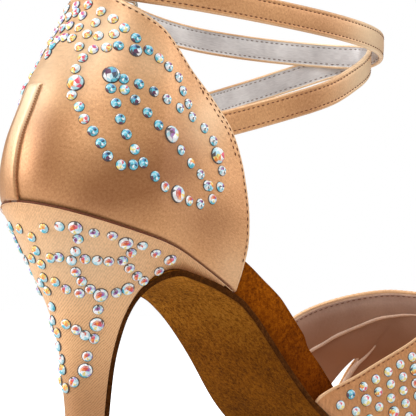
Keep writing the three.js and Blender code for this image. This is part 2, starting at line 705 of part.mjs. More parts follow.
function makeVamp() {
  const turns = 30;
  const lengths = 16;
  const outer = [];
  const inner = [];
  for (let i = 0; i <= turns; i += 1) {
    const turn = i / turns;
    const rear = vampRear(turn) * PLAN_LENGTH;
    const front = vampFront(turn) * PLAN_LENGTH;
    const rowOut = [];
    const rowIn = [];
    for (let j = 0; j <= lengths; j += 1) {
      const x = mix(rear, front, j / lengths);
      rowOut.push(footPoint(x, turn, 0));
      rowIn.push(footPoint(x, turn, WALL));
    }
    outer.push(rowOut);
    inner.push(rowIn);
  }
  const slit = VAMP_SLIT.map((row) => ({ x: row.forward * PLAN_LENGTH, z: row.height * INSTEP_HEIGHT }));
  const slitCut = solid(acrossShoe(slit, 0.1 * BALL_WIDTH, BALL_WIDTH));
  return geometryOf(solid(slab(outer, inner)).subtract(slitCut));
}

// Ankle straps: bands round an oval, the outer one over the inner one
const strapLayer = (STRAP_THICKNESS - STRAP_JOIN) / 2;
const strapInCup = WALL + GAP + STRAP_THICKNESS / 2;
const cupTopInside = cup(0, 1, STRAP_BACK - SEAT_HEIGHT).x + strapInCup;
const loopBack = cupTopInside + strapLayer;
const loopMiddle = (LOOP_FRONT + loopBack) / 2;
const loopLength = (LOOP_FRONT - loopBack) / 2;

// Middle of the strap and its outward direction at a turn, on the oval
function onOval(turn, out, z) {
  const angle = radians(turn);
  const normal = mm(Math.cos(angle) / loopLength, -Math.sin(angle) / (LOOP_WIDTH / 2), 0).normalize();
  const centre = mm(loopMiddle + loopLength * Math.cos(angle), -LOOP_WIDTH / 2 * Math.sin(angle), z);
  return { centre: centre.addScaledVector(normal, out), normal };
}

// The same inside the wall of the heel cup
function inCup(x, z, side) {
  const place = cupAt(x, z + STRAP_WIDTH / 2, side);
  const normal = cupNormal(place.g, side, place.rise);
  const centre = cup(place.g, side, place.rise).addScaledVector(normal, -strapInCup);
  normal.z = 0;
  return { centre: mm(centre.x, centre.y, z), normal: normal.normalize() };
}

function strapBand(rows, layer) {
  const list = rows.map((row, i) => ({ ...row, i }));
  const at = Object.fromEntries(Object.keys(rows[0]).map((key) => [key, track(list, 'i', key)]));
  const steps = (rows.length - 1) * 6;
  const outer = [];
  const inner = [];
  for (let i = 0; i <= steps; i += 1) {
    const t = i / steps * (rows.length - 1);
    const turn = at.turn(t);
    const z = mix(mix(STRAP_LOW, STRAP_CROSS, at.rise(t)), STRAP_BACK, at.back(t));
    const free = onOval(turn, layer + at.off(t) * STRAP_STAND_OFF, z);
    const seat = THREE.MathUtils.clamp(at.seat(t), 0, 1);
    const held = seat > 0 ? inCup(free.centre.x, z, turn > 0 ? -1 : 1) : free;
    const centre = free.centre.lerp(held.centre, seat);
    const normal = free.normal.lerp(held.normal, seat).normalize();
    const edge = (out, up) => centre.clone().addScaledVector(normal, out).add(mm(0, 0, up));
    const half = STRAP_WIDTH / 2;
    outer.push([edge(STRAP_THICKNESS / 2, -half), edge(STRAP_THICKNESS / 2, half)]);
    inner.push([edge(-STRAP_THICKNESS / 2, -half), edge(-STRAP_THICKNESS / 2, half)]);
  }
  return slab(outer, inner);
}

function makeAnkleStraps() {
  const inner = solid(strapBand(STRAP_INNER, -strapLayer));
  const outer = solid(strapBand(STRAP_OUTER, strapLayer));
  return geometryOf(inner.add(outer));
}

// Buckle: a frame that lies on the strap's outer side, and its prong
function onStrap(geometry) {
  const out = strapLayer + STRAP_THICKNESS / 2 + BUCKLE_STAND;
  const place = onOval(BUCKLE_TURN, out, mix(STRAP_CROSS, STRAP_BACK, BUCKLE_BACK));
  const along = mm(-place.normal.y, place.normal.x, 0);
  const basis = new THREE.Matrix4().makeBasis(along, mm(0, 0, 1), mm(place.normal.x, place.normal.y, 0));
  geometry.applyMatrix4(basis.setPosition(place.centre));
  return geometry;
}

function rectangle(path, length, height, corner) {
  const [x, y] = [length / 2, height / 2];
  path.moveTo(-x + corner, -y);
  path.lineTo(x - corner, -y);
  path.absarc(x - corner, -y + corner, corner, -Math.PI / 2, 0);
  path.lineTo(x, y - corner);
  path.absarc(x - corner, y - corner, corner, 0, Math.PI / 2);
  path.lineTo(-x + corner, y);
  path.absarc(-x + corner, y - corner, corner, Math.PI / 2, Math.PI);
  path.lineTo(-x, -y + corner);
  path.absarc(-x + corner, -y + corner, corner, Math.PI, Math.PI * 1.5);
  return path;
}

function makeBuckle() {
  const frame = rectangle(new THREE.Shape(), BUCKLE_LENGTH, BUCKLE_HEIGHT, BUCKLE_CORNER);
  const [length, height] = [BUCKLE_LENGTH - 2 * BUCKLE_WIRE, BUCKLE_HEIGHT - 2 * BUCKLE_WIRE];
  frame.holes.push(rectangle(new THREE.Path(), length, height, BUCKLE_CORNER * 0.4));
  const options = { depth: BUCKLE_WIRE, bevelEnabled: false, curveSegments: 3 };
  return onStrap(new THREE.ExtrudeGeometry(frame, options));
}

function makeProng() {
  const length = BUCKLE_LENGTH - 2 * BUCKLE_WIRE - 2 * GAP;
  const geometry = new THREE.BoxGeometry(length, BUCKLE_WIRE * 0.8, BUCKLE_WIRE * 0.7);
  geometry.translate(0, 0, BUCKLE_WIRE * 0.35);
  return onStrap(geometry);
}

// Assembly
const SATIN = { color: 0xd9a97c, roughness: 0.42, metalness: 0 };
const SUEDE = { color: 0x7a4e1e, roughness: 0.95, metalness: 0 };
const SOCK = { color: 0x8a5a26, roughness: 0.9, metalness: 0 };
const NYLON = { color: 0x2b2320, roughness: 0.5, metalness: 0 };
const METAL = { color: 0xc9c4bb, roughness: 0.25, metalness: 1 };

const shoe = new THREE.Group();

function addPiece(name, geometry, finish) {
  geometry.computeVertexNormals();
  const mesh = new THREE.Mesh(geometry, new THREE.MeshStandardMaterial(finish));
  mesh.name = name;
  shoe.add(mesh);
}

addPiece('outsole', makeOutsole(), SUEDE);
addPiece('insole', makeInsole(), SOCK);
addPiece('heel', makeHeel(), SATIN);
addPiece('heel_tip', makeHeelTip(), NYLON);
addPiece('counter', makeCounter(), SATIN);
addPiece('back_strip', makeBackStrip(), SATIN);
addPiece('vamp', makeVamp(), SATIN);
addPiece('ankle_straps', makeAnkleStraps(), SATIN);
addPiece('buckle', makeBuckle(), METAL);
addPiece('buckle_prong', makeProng(), METAL);

const box = new THREE.Box3().setFromObject(shoe);
const centre = box.getCenter(mm(0, 0, 0));
shoe.position.set(-centre.x, -centre.y, -box.min.z);

export default shoe;
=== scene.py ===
"""High-heeled ballroom dance sandal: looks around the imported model.

The shapes come from the same named sizes as the part's source, in its own millimetres,
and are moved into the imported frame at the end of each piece.
"""

import math
import random

import bmesh
import bpy
import numpy as np
from mathutils import Matrix, Vector


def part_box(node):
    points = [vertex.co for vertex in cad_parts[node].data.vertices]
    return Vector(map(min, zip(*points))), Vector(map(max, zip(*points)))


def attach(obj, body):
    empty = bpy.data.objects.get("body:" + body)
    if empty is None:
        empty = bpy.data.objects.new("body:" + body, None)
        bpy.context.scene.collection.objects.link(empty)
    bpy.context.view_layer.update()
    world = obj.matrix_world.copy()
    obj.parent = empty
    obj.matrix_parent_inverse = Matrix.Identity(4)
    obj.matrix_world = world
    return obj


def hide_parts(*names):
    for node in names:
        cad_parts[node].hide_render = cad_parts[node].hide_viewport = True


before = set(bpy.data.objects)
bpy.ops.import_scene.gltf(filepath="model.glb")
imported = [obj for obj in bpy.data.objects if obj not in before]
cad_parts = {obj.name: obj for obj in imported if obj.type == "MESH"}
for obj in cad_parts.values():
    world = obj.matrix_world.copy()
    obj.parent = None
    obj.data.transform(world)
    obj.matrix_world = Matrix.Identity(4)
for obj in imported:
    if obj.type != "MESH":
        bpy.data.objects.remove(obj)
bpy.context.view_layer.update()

MM = 0.001

# Sizes, as in the source
SOLE_LENGTH, SEAT_HEIGHT, SEAT_WIDTH, SEAT_DEPTH = 238.0, 75.3, 53.4, 33.0
WAIST_WIDTH, BALL_WIDTH, OUTSOLE_THICKNESS = 45.4, 74.0, 1.8
INSOLE_EDGE, INSOLE_FORE, INSOLE_PLAY, INSOLE_TAPER, INSOLE_SET = 11.0, 3.6, 0.75, 0.8, 1.4
TALL_SIDE = (0.11, 0.27, 0.44, 0.62)
BARE_SIDE = (0.305, 0.345, 0.395, 0.425)
WALL, GAP = 1.8, 0.3
COUNTER_HEIGHT, COUNTER_REACH = 64.5, 67.3
HEEL_FOOT_WIDTH, HEEL_BACK_FOOT, BREAST_FORWARD, ARCH_HEIGHT = 12.0, 22.9, 31.0, 58.1
TIP_HEIGHT, BREAST_SET, HEEL_END = 6.0, 0.4, 0.264
INSTEP_HEIGHT = 100.0
STRAP_WIDTH, STRAP_THICKNESS, LOOP_FRONT, STAND_OFF, LOOP_WIDTH = 8.0, 1.5, 131.6, 3.0, 45.0
STRAP_LOW, STRAP_CROSS, STRAP_BACK, STRAP_JOIN = 101.0, 132.5, 141.0, 0.2
STRIP_WIDTH, STRIP_HEIGHT, STRIP_THICKNESS = 5.6, 34.0, 1.0
BUCKLE_LENGTH, BUCKLE_HEIGHT, BUCKLE_WIRE, BUCKLE_TURN, BUCKLE_BACK = 13.0, 13.6, 1.8, -120.0, 0.5
BUCKLE_STAND = 0.6


def table(names, *rows):
    return {name: np.array([row[i] for row in rows], float)
            for i, name in enumerate(names.split())}


PITCH = table(
    "at slope", (0, 17), (.059, 16), (.126, 14), (.160, 17), (.202, 25), (.244, 29),
    (.286, 32), (.336, 45), (.441, 47), (.492, 38), (.534, 29.5), (.580, 20.5), (.630, 12),
    (.685, 4), (.723, 0), (.730, 0), (.813, 0), (.820, 0), (1, -8))
OUTLINE = table(
    "at waist ball middle",
    (.139, .588, 0, -.015), (.200, .560, 0, -.004), (.265, .524, 0, -.017),
    (.330, .500, 0, -.028), (.395, .500, 0, -.026), (.455, .415, .074, -.018),
    (.517, .240, .216, -.006), (.590, .060, .376, .004), (.660, 0, .466, .011),
    (.725, 0, .492, .001), (.795, 0, .485, -.023), (.866, 0, .449, -.052), (1, 0, .380, -.112))
TOE_ROUND = 0.866
CUP = table(
    "rise lean width", (0, 0, 1), (.12, -.019, 1.015), (.28, 0, .99), (.43, .053, .95),
    (.55, .100, .90), (.70, .180, .83), (.83, .252, .75), (1, .320, .65), (1.3, .400, .52))
CUP_EDGE = table(
    "forward height", (.300, .958), (.318, .955), (.345, .941), (.385, .912), (.464, .868),
    (.546, .815), (.624, .732), (.700, .645), (.785, .565), (.856, .483), (.922, .397),
    (.972, .260), (.993, .138), (1.005, 0), (.998, -.130), (.968, -.240), (.932, -.352))
HEEL = table(
    "down back length width", (-.10, 0, 1, 1), (0, 0, 1, 1), (.033, .048, .985, .940),
    (.064, .100, .960, .850), (.125, .196, .900, .705), (.203, .328, .800, .560),
    (.279, .459, .680, .435), (.360, .612, .550, .305), (.446, .729, .440, .190),
    (.540, .820, .360, .100), (.650, .882, .315, .045), (.803, .965, .285, .010),
    (1, 1, .270, 0))
ARCH = table(
    "forward height", (0, .640), (.006, .770), (.024, .855), (.060, .925), (.112, .977),
    (.180, 1))
LIP = table("at drop", (.205, 3.9), (.238, 2.1), (.262, 1.1))
FOOT = table(
    "forward height bulge square", (.40, 1, 1.06, .82), (.52, .93, 1.10, .82),
    (.60, .83, 1.11, .84), (.67, .72, 1.10, .88), (.74, .59, 1.06, .93), (.81, .46, 1.04, .94),
    (.88, .34, 1.02, .92), (.95, .26, 1.01, .90), (1, .22, 1, .90))
VAMP_REAR = table(
    "turn forward", (0, .436), (.05, .510), (.12, .590), (.22, .667), (.36, .735), (.50, .762),
    (.62, .739), (.74, .690), (.86, .607), (1, .494))
VAMP_FRONT = table(
    "turn forward", (0, .945), (.20, .930), (.40, .908), (.60, .893), (.80, .890), (1, .898))
STRAP_INNER = table(
    "turn rise back seat off", (121, 0, 0, 1, 0), (109, .04, 0, 1, 0), (97, .14, 0, .7, 0),
    (82, .29, 0, .3, 0), (64, .48, 0, 0, 0), (45, .70, 0, 0, 0), (20, .92, 0, 0, 0),
    (0, .98, 0, 0, 0), (-30, 1, 0, 0, 0), (-90, 1, .10, 0, 0), (-128, 1, .55, 0, 0))
STRAP_OUTER = table(
    "turn rise back seat off", (-121, .06, 0, 1, 0), (-109, .12, 0, 1, 0), (-97, .24, 0, .7, 0),
    (-82, .39, 0, .3, 0), (-64, .56, 0, 0, 0), (-48, .72, 0, 0, 0), (-28, .88, 0, 0, 0),
    (0, 1, .06, 0, 1), (30, 1, .32, 0, .7), (90, 1, .52, 0, 0), (140, 1, .76, 0, 0),
    (180, 1, 1, 0, 0), (215, 1, .88, 0, 0), (245, 1, .45, 0, 0))


# Shape functions, in mm
class Track:
    """Smooth curve through one column of a table."""

    def __init__(self, keys, values):
        self.keys = np.array(keys, float)
        self.values = np.array(values, float)
        places = np.arange(len(self.keys))
        after = np.minimum(places + 1, len(places) - 1)
        before = np.maximum(places - 1, 0)
        self.grade = ((self.values[after] - self.values[before])
                      / (self.keys[after] - self.keys[before]))

    def __call__(self, value):
        x = np.asarray(value, float)
        i = np.clip(np.searchsorted(self.keys[1:], x, side="left"), 0, len(self.keys) - 2)
        span = self.keys[i + 1] - self.keys[i]
        t = np.clip((x - self.keys[i]) / span, 0, 1)
        rest = 1 - t
        start = self.values[i] * (1 + 2 * t) * rest * rest
        end = self.values[i + 1] * (3 - 2 * t) * t * t
        return start + end + span * t * rest * (self.grade[i] * rest - self.grade[i + 1] * t)


def mix(a, b, t):
    return a + (b - a) * t


def smoothstep(x, low, high):
    t = np.clip((np.asarray(x, float) - low) / (high - low), 0, 1)
    return t * t * (3 - 2 * t)


def solve(rising, target, low, high):
    """Parameter at which a rising function reaches a value, for a whole array."""
    target = np.asarray(target, float)
    low = np.full(target.shape, float(low))
    high = np.full(target.shape, float(high))
    for _ in range(40):
        middle = (low + high) / 2
        below = rising(middle) < target
        low = np.where(below, middle, low)
        high = np.where(below, high, middle)
    return (low + high) / 2


def stack(*parts):
    return np.stack(np.broadcast_arrays(*parts), -1)


def unit(vectors):
    length = np.linalg.norm(vectors, axis=-1, keepdims=True)
    return vectors / np.maximum(length, 1e-9)


slope_at = Track(PITCH["at"], PITCH["slope"])
LINE_STEPS = 476


def trace_line(factor):
    step = SOLE_LENGTH / LINE_STEPS
    rate = slope_at((np.arange(1, LINE_STEPS + 1) - 0.5) / LINE_STEPS)
    slope = np.radians(rate) * np.where(rate > 0, factor, 1)
    x = np.concatenate([[0], np.cumsum(np.cos(slope) * step)])
    z = np.concatenate([[0], -np.cumsum(np.sin(slope) * step)])
    return x, z, np.concatenate([[slope[0]], slope])


steepness = solve(
    lambda f: np.array(-trace_line(float(f))[1].min()), SEAT_HEIGHT - OUTSOLE_THICKNESS, .2, 1.8)
LINE_X, LINE_Z, LINE_SLOPE = trace_line(float(steepness))
LINE_ALONG = np.linspace(0, SOLE_LENGTH, LINE_STEPS + 1)
PLAN_LENGTH = LINE_X[-1]


def feather(along):
    """Side view of the sole's upper edge: x, z and slope."""
    along = np.clip(along, 0, SOLE_LENGTH)
    return (np.interp(along, LINE_ALONG, LINE_X),
            SEAT_HEIGHT + np.interp(along, LINE_ALONG, LINE_Z),
            np.interp(along, LINE_ALONG, LINE_SLOPE))


def along_at(x):
    return np.interp(x, LINE_X, LINE_ALONG)


waist_share = Track(OUTLINE["at"], OUTLINE["waist"])
ball_share = Track(OUTLINE["at"], OUTLINE["ball"])
middle_share = Track(OUTLINE["at"], OUTLINE["middle"])


def outline(along):
    """Half width of the sole and its middle line's offset."""
    along = np.asarray(along, float)
    at = along / SOLE_LENGTH
    middle = middle_share(at) * BALL_WIDTH
    back = np.clip(1 - along / SEAT_DEPTH, 0, 1)
    seat = SEAT_WIDTH / 2 * np.sqrt(np.maximum(1 - back * back, 0))
    free = waist_share(at) * WAIST_WIDTH + ball_share(at) * BALL_WIDTH
    half = mix(SEAT_WIDTH / 2, free, smoothstep(along, SEAT_DEPTH, SEAT_DEPTH * 1.5))
    round_off = np.clip((at - TOE_ROUND) / (1 - TOE_ROUND), 0, 1)
    toe = half * np.maximum(1 - round_off ** 2.2, 0) ** (1 / 2.2)
    in_seat = along < SEAT_DEPTH
    half = np.where(in_seat, seat, np.where(at <= TOE_ROUND, half, toe))
    return half, np.where(in_seat, middle * (1 - back), middle)


cup_lean = Track(CUP["rise"], CUP["lean"])
cup_width = Track(CUP["rise"], CUP["width"])


def cup_foot(g):
    g = np.asarray(g, float)
    quarter = math.pi / 2
    return np.where(g < 1, SEAT_DEPTH * (1 - np.cos(g * quarter)),
                    SEAT_DEPTH * (1 + (g - 1) * quarter))


def cup(g, side, rise):
    """Heel cup: g is 0 at the back seam and 1 at the seat's widest part."""
    along = np.minimum(cup_foot(g), SOLE_LENGTH * 0.9)
    x, z, _ = feather(along)
    half, middle = outline(along)
    share = np.asarray(rise, float) / COUNTER_HEIGHT
    side_lean = mix(1, 0.25, smoothstep(g, 0, 1.2))
    return stack(x + cup_lean(share) * COUNTER_HEIGHT * side_lean,
                 side * half * cup_width(share) + middle, z + rise)


def cup_normal(g, side, rise):
    small = 0.02
    g = np.asarray(g, float)
    around = cup(np.maximum(g + small, 0), side, rise) - cup(np.maximum(g - small, 0), side, rise)
    across = stack(0 * g, side + 0 * g, 0 * g)
    around = np.where((g < small)[..., None], across, around)
    up = cup(g, side, rise + 0.5) - cup(g, side, rise - 0.5)
    normal = unit(np.cross(around, up))
    flip = (normal[..., 1] * side < 0) | ((g < 0.5) & (normal[..., 0] > 0))
    return np.where(flip[..., None], -normal, normal)


def cup_at(x, z, side):
    """The place on the cup that is seen from the side at x and z."""
    x, z = np.asarray(x, float), np.asarray(z, float)

    def rise(g):
        return z - feather(cup_foot(g))[1]

    g = solve(lambda value: cup(value, side, rise(value))[..., 0], x, 0, 2.6)
    return g, rise(g)


edge_places = np.arange(len(CUP_EDGE["forward"]))
edge_forward = Track(edge_places, CUP_EDGE["forward"])
edge_height = Track(edge_places, CUP_EDGE["height"])


def cup_edge(t, side):
    """Edge of the heel cup: t is 0 at the back and 1 at the wing's tip."""
    i = np.asarray(t, float) * (len(edge_places) - 1)
    z = SEAT_HEIGHT + edge_height(i) * COUNTER_HEIGHT
    g, rise = cup_at(edge_forward(i) * COUNTER_REACH, z, side)
    back = np.asarray(t) == 0
    return np.where(back, 0, g), np.where(back, z - SEAT_HEIGHT, rise)


heel_back = Track(HEEL["down"], HEEL["back"])
heel_length = Track(HEEL["down"], HEEL["length"])
heel_width = Track(HEEL["down"], HEEL["width"])


def heel_point(u, side, down):
    """Heel: u is 0 at the back, 1 at the seat's widest part and 2 at the front tip."""
    u = np.asarray(u, float)
    down = np.asarray(down, float)
    seat = SEAT_DEPTH * (1 - np.cos(np.minimum(u, 1) * math.pi / 2))
    along = np.where(u <= 1, seat, mix(SEAT_DEPTH, HEEL_END * SOLE_LENGTH, u - 1))
    x, z, _ = feather(along)
    half, middle = outline(along)
    share = mix(HEEL_FOOT_WIDTH, SEAT_WIDTH, heel_width(down)) / SEAT_WIDTH
    return stack(heel_back(down) * HEEL_BACK_FOOT + x * heel_length(down),
                 side * half * share + middle * heel_width(down), mix(z, 0, down))


foot_height = Track(FOOT["forward"], FOOT["height"])
foot_bulge = Track(FOOT["forward"], FOOT["bulge"])
foot_square = Track(FOOT["forward"], FOOT["square"])
vamp_rear = Track(VAMP_REAR["turn"], VAMP_REAR["forward"])
vamp_front = Track(VAMP_FRONT["turn"], VAMP_FRONT["forward"])


def foot_point(x, turn, inward=0.0):
    """Foot form: turn is 0 on the inner side, 0.5 over the instep and 1 on the outer side."""
    along = along_at(x)
    z = feather(along)[1]
    half, middle = outline(along)
    share = np.asarray(x, float) / PLAN_LENGTH
    height = foot_height(share) * INSTEP_HEIGHT - inward
    angle = np.asarray(turn, float) * math.pi
    square = foot_square(share)
    arch = np.maximum(np.sin(angle), 0) ** square
    low = np.minimum(1, 2.2 * arch)
    half = (half - inward) * mix(1, foot_bulge(share), low * (1 - 0.5 * arch))
    across = np.sign(np.cos(angle)) * np.abs(np.cos(angle)) ** square
    return stack(x, middle - across * half, z + GAP + height * arch)


STRAP_LAYER = (STRAP_THICKNESS - STRAP_JOIN) / 2
STRAP_IN_CUP = WALL + GAP + STRAP_THICKNESS / 2
loop_back = float(cup(0.0, 1, STRAP_BACK - SEAT_HEIGHT)[0]) + STRAP_IN_CUP + STRAP_LAYER
LOOP_MIDDLE = (LOOP_FRONT + loop_back) / 2
LOOP_HALF = (LOOP_FRONT - loop_back) / 2


def on_oval(turn, out, z):
    angle = np.radians(turn)
    normal = unit(stack(np.cos(angle) / LOOP_HALF, -np.sin(angle) / (LOOP_WIDTH / 2), 0 * angle))
    centre = stack(LOOP_MIDDLE + LOOP_HALF * np.cos(angle), -LOOP_WIDTH / 2 * np.sin(angle), z)
    return centre + normal * np.asarray(out)[..., None], normal


def strap_line(rows, layer, steps):
    """Middle line of an ankle strap and its outward direction."""
    places = np.arange(len(rows["turn"]))
    t = np.linspace(0, len(places) - 1, steps)
    at = {name: Track(places, column)(t) for name, column in rows.items()}
    z = mix(mix(STRAP_LOW, STRAP_CROSS, at["rise"]), STRAP_BACK, at["back"])
    centre, normal = on_oval(at["turn"], layer + at["off"] * STAND_OFF, z)
    seat = np.clip(at["seat"], 0, 1)
    side = np.where(at["turn"] > 0, -1, 1)
    g, rise = cup_at(centre[:, 0], z + STRAP_WIDTH / 2, side)
    wall = cup_normal(g, side, rise)
    held = cup(g, side, rise) - wall * STRAP_IN_CUP
    held[:, 2] = z
    wall[:, 2] = 0
    centre = mix(centre, held, seat[:, None])
    return centre, unit(mix(normal, unit(wall), seat[:, None]))


# Mesh helpers
tip_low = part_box("heel_tip")[0]
SHIFT = np.array([tip_low.x - HEEL_BACK_FOOT * MM, tip_low.y + HEEL_FOOT_WIDTH / 2 * MM, 0.0])


def to_frame(points):
    return np.asarray(points, float) * MM + SHIFT


def build(name, points, faces, materials, slots=None, cloth=None, smooth=True, outward=True):
    """Mesh object from points in millimetres. cloth holds each point's place on the fabric."""
    mesh = bpy.data.meshes.new(name)
    mesh.from_pydata(to_frame(points).tolist(), [], faces)
    for material in materials:
        mesh.materials.append(material)
    if slots is not None:
        mesh.polygons.foreach_set("material_index", np.asarray(slots, np.int32))
    mesh.polygons.foreach_set("use_smooth", np.full(len(mesh.polygons), smooth))
    if cloth is not None:
        layer = mesh.attributes.new("cloth", "FLOAT_VECTOR", "POINT")
        layer.data.foreach_set("vector", np.asarray(cloth, np.float32).ravel())
    if outward:
        work = bmesh.new()
        work.from_mesh(mesh)
        bmesh.ops.recalc_face_normals(work, faces=work.faces)
        work.to_mesh(mesh)
        work.free()
    mesh.validate()
    mesh.update()
    piece = bpy.data.objects.new(name, mesh)
    bpy.context.scene.collection.objects.link(piece)
    return piece


def loft(name, rings, materials, column_slot, cloth=None, caps=True):
    """Closed piece through rings of points; column_slot gives each ring edge's material."""
    rings = np.asarray(rings, float)
    count, size = rings.shape[:2]
    faces, slots = [], []
    for i in range(count - 1):
        for j in range(size):
            k = (j + 1) % size
            faces.append((i * size + j, i * size + k, (i + 1) * size + k, (i + 1) * size + j))
            slots.append(column_slot[j])
    if caps:
        faces.append(tuple(range(size)))
        faces.append(tuple((count - 1) * size + j for j in range(size)))
        slots += [column_slot[0]] * 2
    flat = None if cloth is None else np.asarray(cloth).reshape(-1, 3)
    return build(name, rings.reshape(-1, 3), faces, materials, slots, flat)


def polyline_length(points):
    steps = np.linalg.norm(np.diff(points, axis=0), axis=1)
    return np.concatenate([[0], np.cumsum(steps)])


def at_places(line, run, places):
    """Points of a line at the given runs along it."""
    return np.stack([np.interp(places, run, line[:, k]) for k in range(line.shape[1])], -1)


def resample(points, pitch, *others):
    """Points every pitch along a line, with what belongs to each."""
    run = polyline_length(points)
    count = max(int(run[-1] / pitch), 1)
    places = (np.arange(count) + 0.5) * run[-1] / count
    return [at_places(line, run, places) for line in (points, *others)]


def ring_faces(first, count, sides):
    """Faces of a tube through rings of points, with its two ends closed."""
    faces = []
    for i in range(count - 1):
        a = first + i * sides
        for j in range(sides):
            k = (j + 1) % sides
            faces.append((a + j, a + k, a + sides + k, a + sides + j))
    last = first + (count - 1) * sides
    faces.append(tuple(first + j for j in reversed(range(sides))))
    faces.append(tuple(last + j for j in range(sides)))
    return faces


def nearest_on(line, points):
    """Distance to a polyline and the run along it, for each point."""
    run = polyline_length(line)
    flat = points.reshape(-1, 3)
    best = np.full(len(flat), 1e9)
    at = np.zeros(len(flat))
    for i in range(len(line) - 1):
        a, b = line[i], line[i + 1]
        edge = b - a
        t = np.clip(((flat - a) @ edge) / max(edge @ edge, 1e-12), 0, 1)
        gap = np.linalg.norm(flat - a - t[:, None] * edge, axis=1)
        closer = gap < best
        best = np.where(closer, gap, best)
        at = np.where(closer, run[i] + t * (run[i + 1] - run[i]), at)
    return best.reshape(points.shape[:-1]), at.reshape(points.shape[:-1])


# Stitches: each is a short bead of thread that dips into the cloth at both ends. A row holds the
# place along the bead, the share of its thickness and how far it is lifted.
BEAD = ((-0.50, 0.30, -0.22), (-0.36, 0.80, 0.10), (0.0, 1.00, 0.26), (0.36, 0.80, 0.10),
        (0.50, 0.30, -0.22))
BEAD_SIDES = 6


def stitch_rows(name, rows, material, length=1.15, thickness=0.40):
    """One piece with a bead for every place of every row (points, normals, pitch)."""
    points, faces = [], []
    turns = np.arange(BEAD_SIDES) * 2 * math.pi / BEAD_SIDES
    for line, normals, pitch in rows:
        centres, ups = resample(line, pitch, normals)
        ahead = unit(np.gradient(centres, axis=0))
        for centre, up, along in zip(centres, unit(ups), ahead):
            side = np.cross(up, along)
            first = len(points)
            for place, share, lift in BEAD:
                middle = centre + along * place * length + up * lift * thickness
                ring = [middle + thickness / 2 * share * (math.cos(a) * side + math.sin(a) * up)
                        for a in turns]
                points.extend(ring)
            faces += ring_faces(first, len(BEAD), BEAD_SIDES)
    return build(name, points, faces, [material])


# Materials
def rgb(red, green, blue):
    """Linear colour from the 0 to 255 values of a screen."""
    def linear(value):
        share = value / 255
        return share / 12.92 if share <= 0.04045 else ((share + 0.055) / 1.055) ** 2.4
    return (linear(red), linear(green), linear(blue), 1.0)


class Nodes:
    """Short way to lay out a material's nodes."""

    def __init__(self, name):
        self.material = bpy.data.materials.new(name)
        self.material.use_nodes = True
        self.tree = self.material.node_tree
        self.shader = self.tree.nodes["Principled BSDF"]

    def add(self, kind, values=(), **settings):
        node = self.tree.nodes.new("ShaderNode" + kind)
        for key, value in settings.items():
            setattr(node, key, value)
        for key, value in dict(values).items():
            self.feed(node.inputs[key], value)
        return node

    def feed(self, socket, value):
        """Links a node's output to a socket, or sets the socket to a constant."""
        if isinstance(value, bpy.types.NodeSocket):
            self.tree.links.new(value, socket)
        else:
            socket.default_value = value

    def math(self, operation, a, b=0.0, c=0.0):
        return self.add("Math", {0: a, 1: b, 2: c}, operation=operation).outputs[0]

    def mix_colour(self, share, a, b, blend="MIX"):
        node = self.add("Mix", data_type="RGBA", blend_type=blend)
        for key, value in ((0, share), (6, a), (7, b)):
            self.feed(node.inputs[key], value)
        return node.outputs[2]

    def noise(self, vector, scale, detail=2.0, roughness=0.5):
        return self.add("TexNoise", {"Vector": vector, "Scale": scale, "Detail": detail,
                                     "Roughness": roughness}).outputs["Fac"]

    def ramp(self, value, low, high):
        return self.add("MapRange", {"Value": value, "From Min": low, "From Max": high,
                                     "To Min": 0.0, "To Max": 1.0}, clamp=True).outputs[0]

    def value_of(self, name):
        """A value that the mesh holds for each of its points."""
        return self.add("Attribute", attribute_name=name).outputs["Fac"]

    def height_of(self):
        """The point's height over the floor, in millimetres."""
        return self.add("SeparateXYZ", {"Vector": self.solid_place((1, 1, 1))}).outputs["Z"]

    def place(self, scale=(1, 1, 1), turn=0.0):
        """The point's place on the cloth, in millimetres, stretched and turned."""
        source = self.add("Attribute", attribute_name="cloth").outputs["Vector"]
        return self.add("Mapping", {"Vector": source, "Scale": scale,
                                    "Rotation": (0, 0, turn)}).outputs["Vector"]

    def solid_place(self, scale):
        """The point's place in space, in millimetres times scale."""
        source = self.add("TexCoord").outputs["Object"]
        size = tuple(1000 * part for part in scale)
        return self.add("Mapping", {"Vector": source, "Scale": size}).outputs["Vector"]

    def set(self, **values):
        names = {"base": "Base Color", "rough": "Roughness", "metal": "Metallic",
                 "specular": "Specular IOR Level", "sheen": "Sheen Weight",
                 "sheen_rough": "Sheen Roughness", "sheen_tint": "Sheen Tint",
                 "normal": "Normal", "coat": "Coat Weight", "coat_rough": "Coat Roughness",
                 "ior": "IOR", "glow": "Emission Color", "glow_strength": "Emission Strength"}
        for key, value in values.items():
            self.feed(self.shader.inputs[names[key]], value)

    def bump(self, height, distance, strength=1.0, under=None):
        values = {"Height": height, "Distance": distance * MM, "Strength": strength}
        if under is not None:
            values["Normal"] = under
        return self.add("Bump", values).outputs["Normal"]


# Colours of the painted shade and the painted highlight laid on the satin
PAINTED_SHADE_TINT = (0.53, 0.43, 0.34, 1)
PAINTED_HIGHLIGHT_TINT = (1.0, 0.80, 0.54, 1)
# Heights between which the ribs of the heel's twill come out, and a painted reflection of the brown
# sole warms the shaded lining
TWILL_FADE = (58, 34)
LINING_REFLECTION_FADE = (52.0, 34.0)


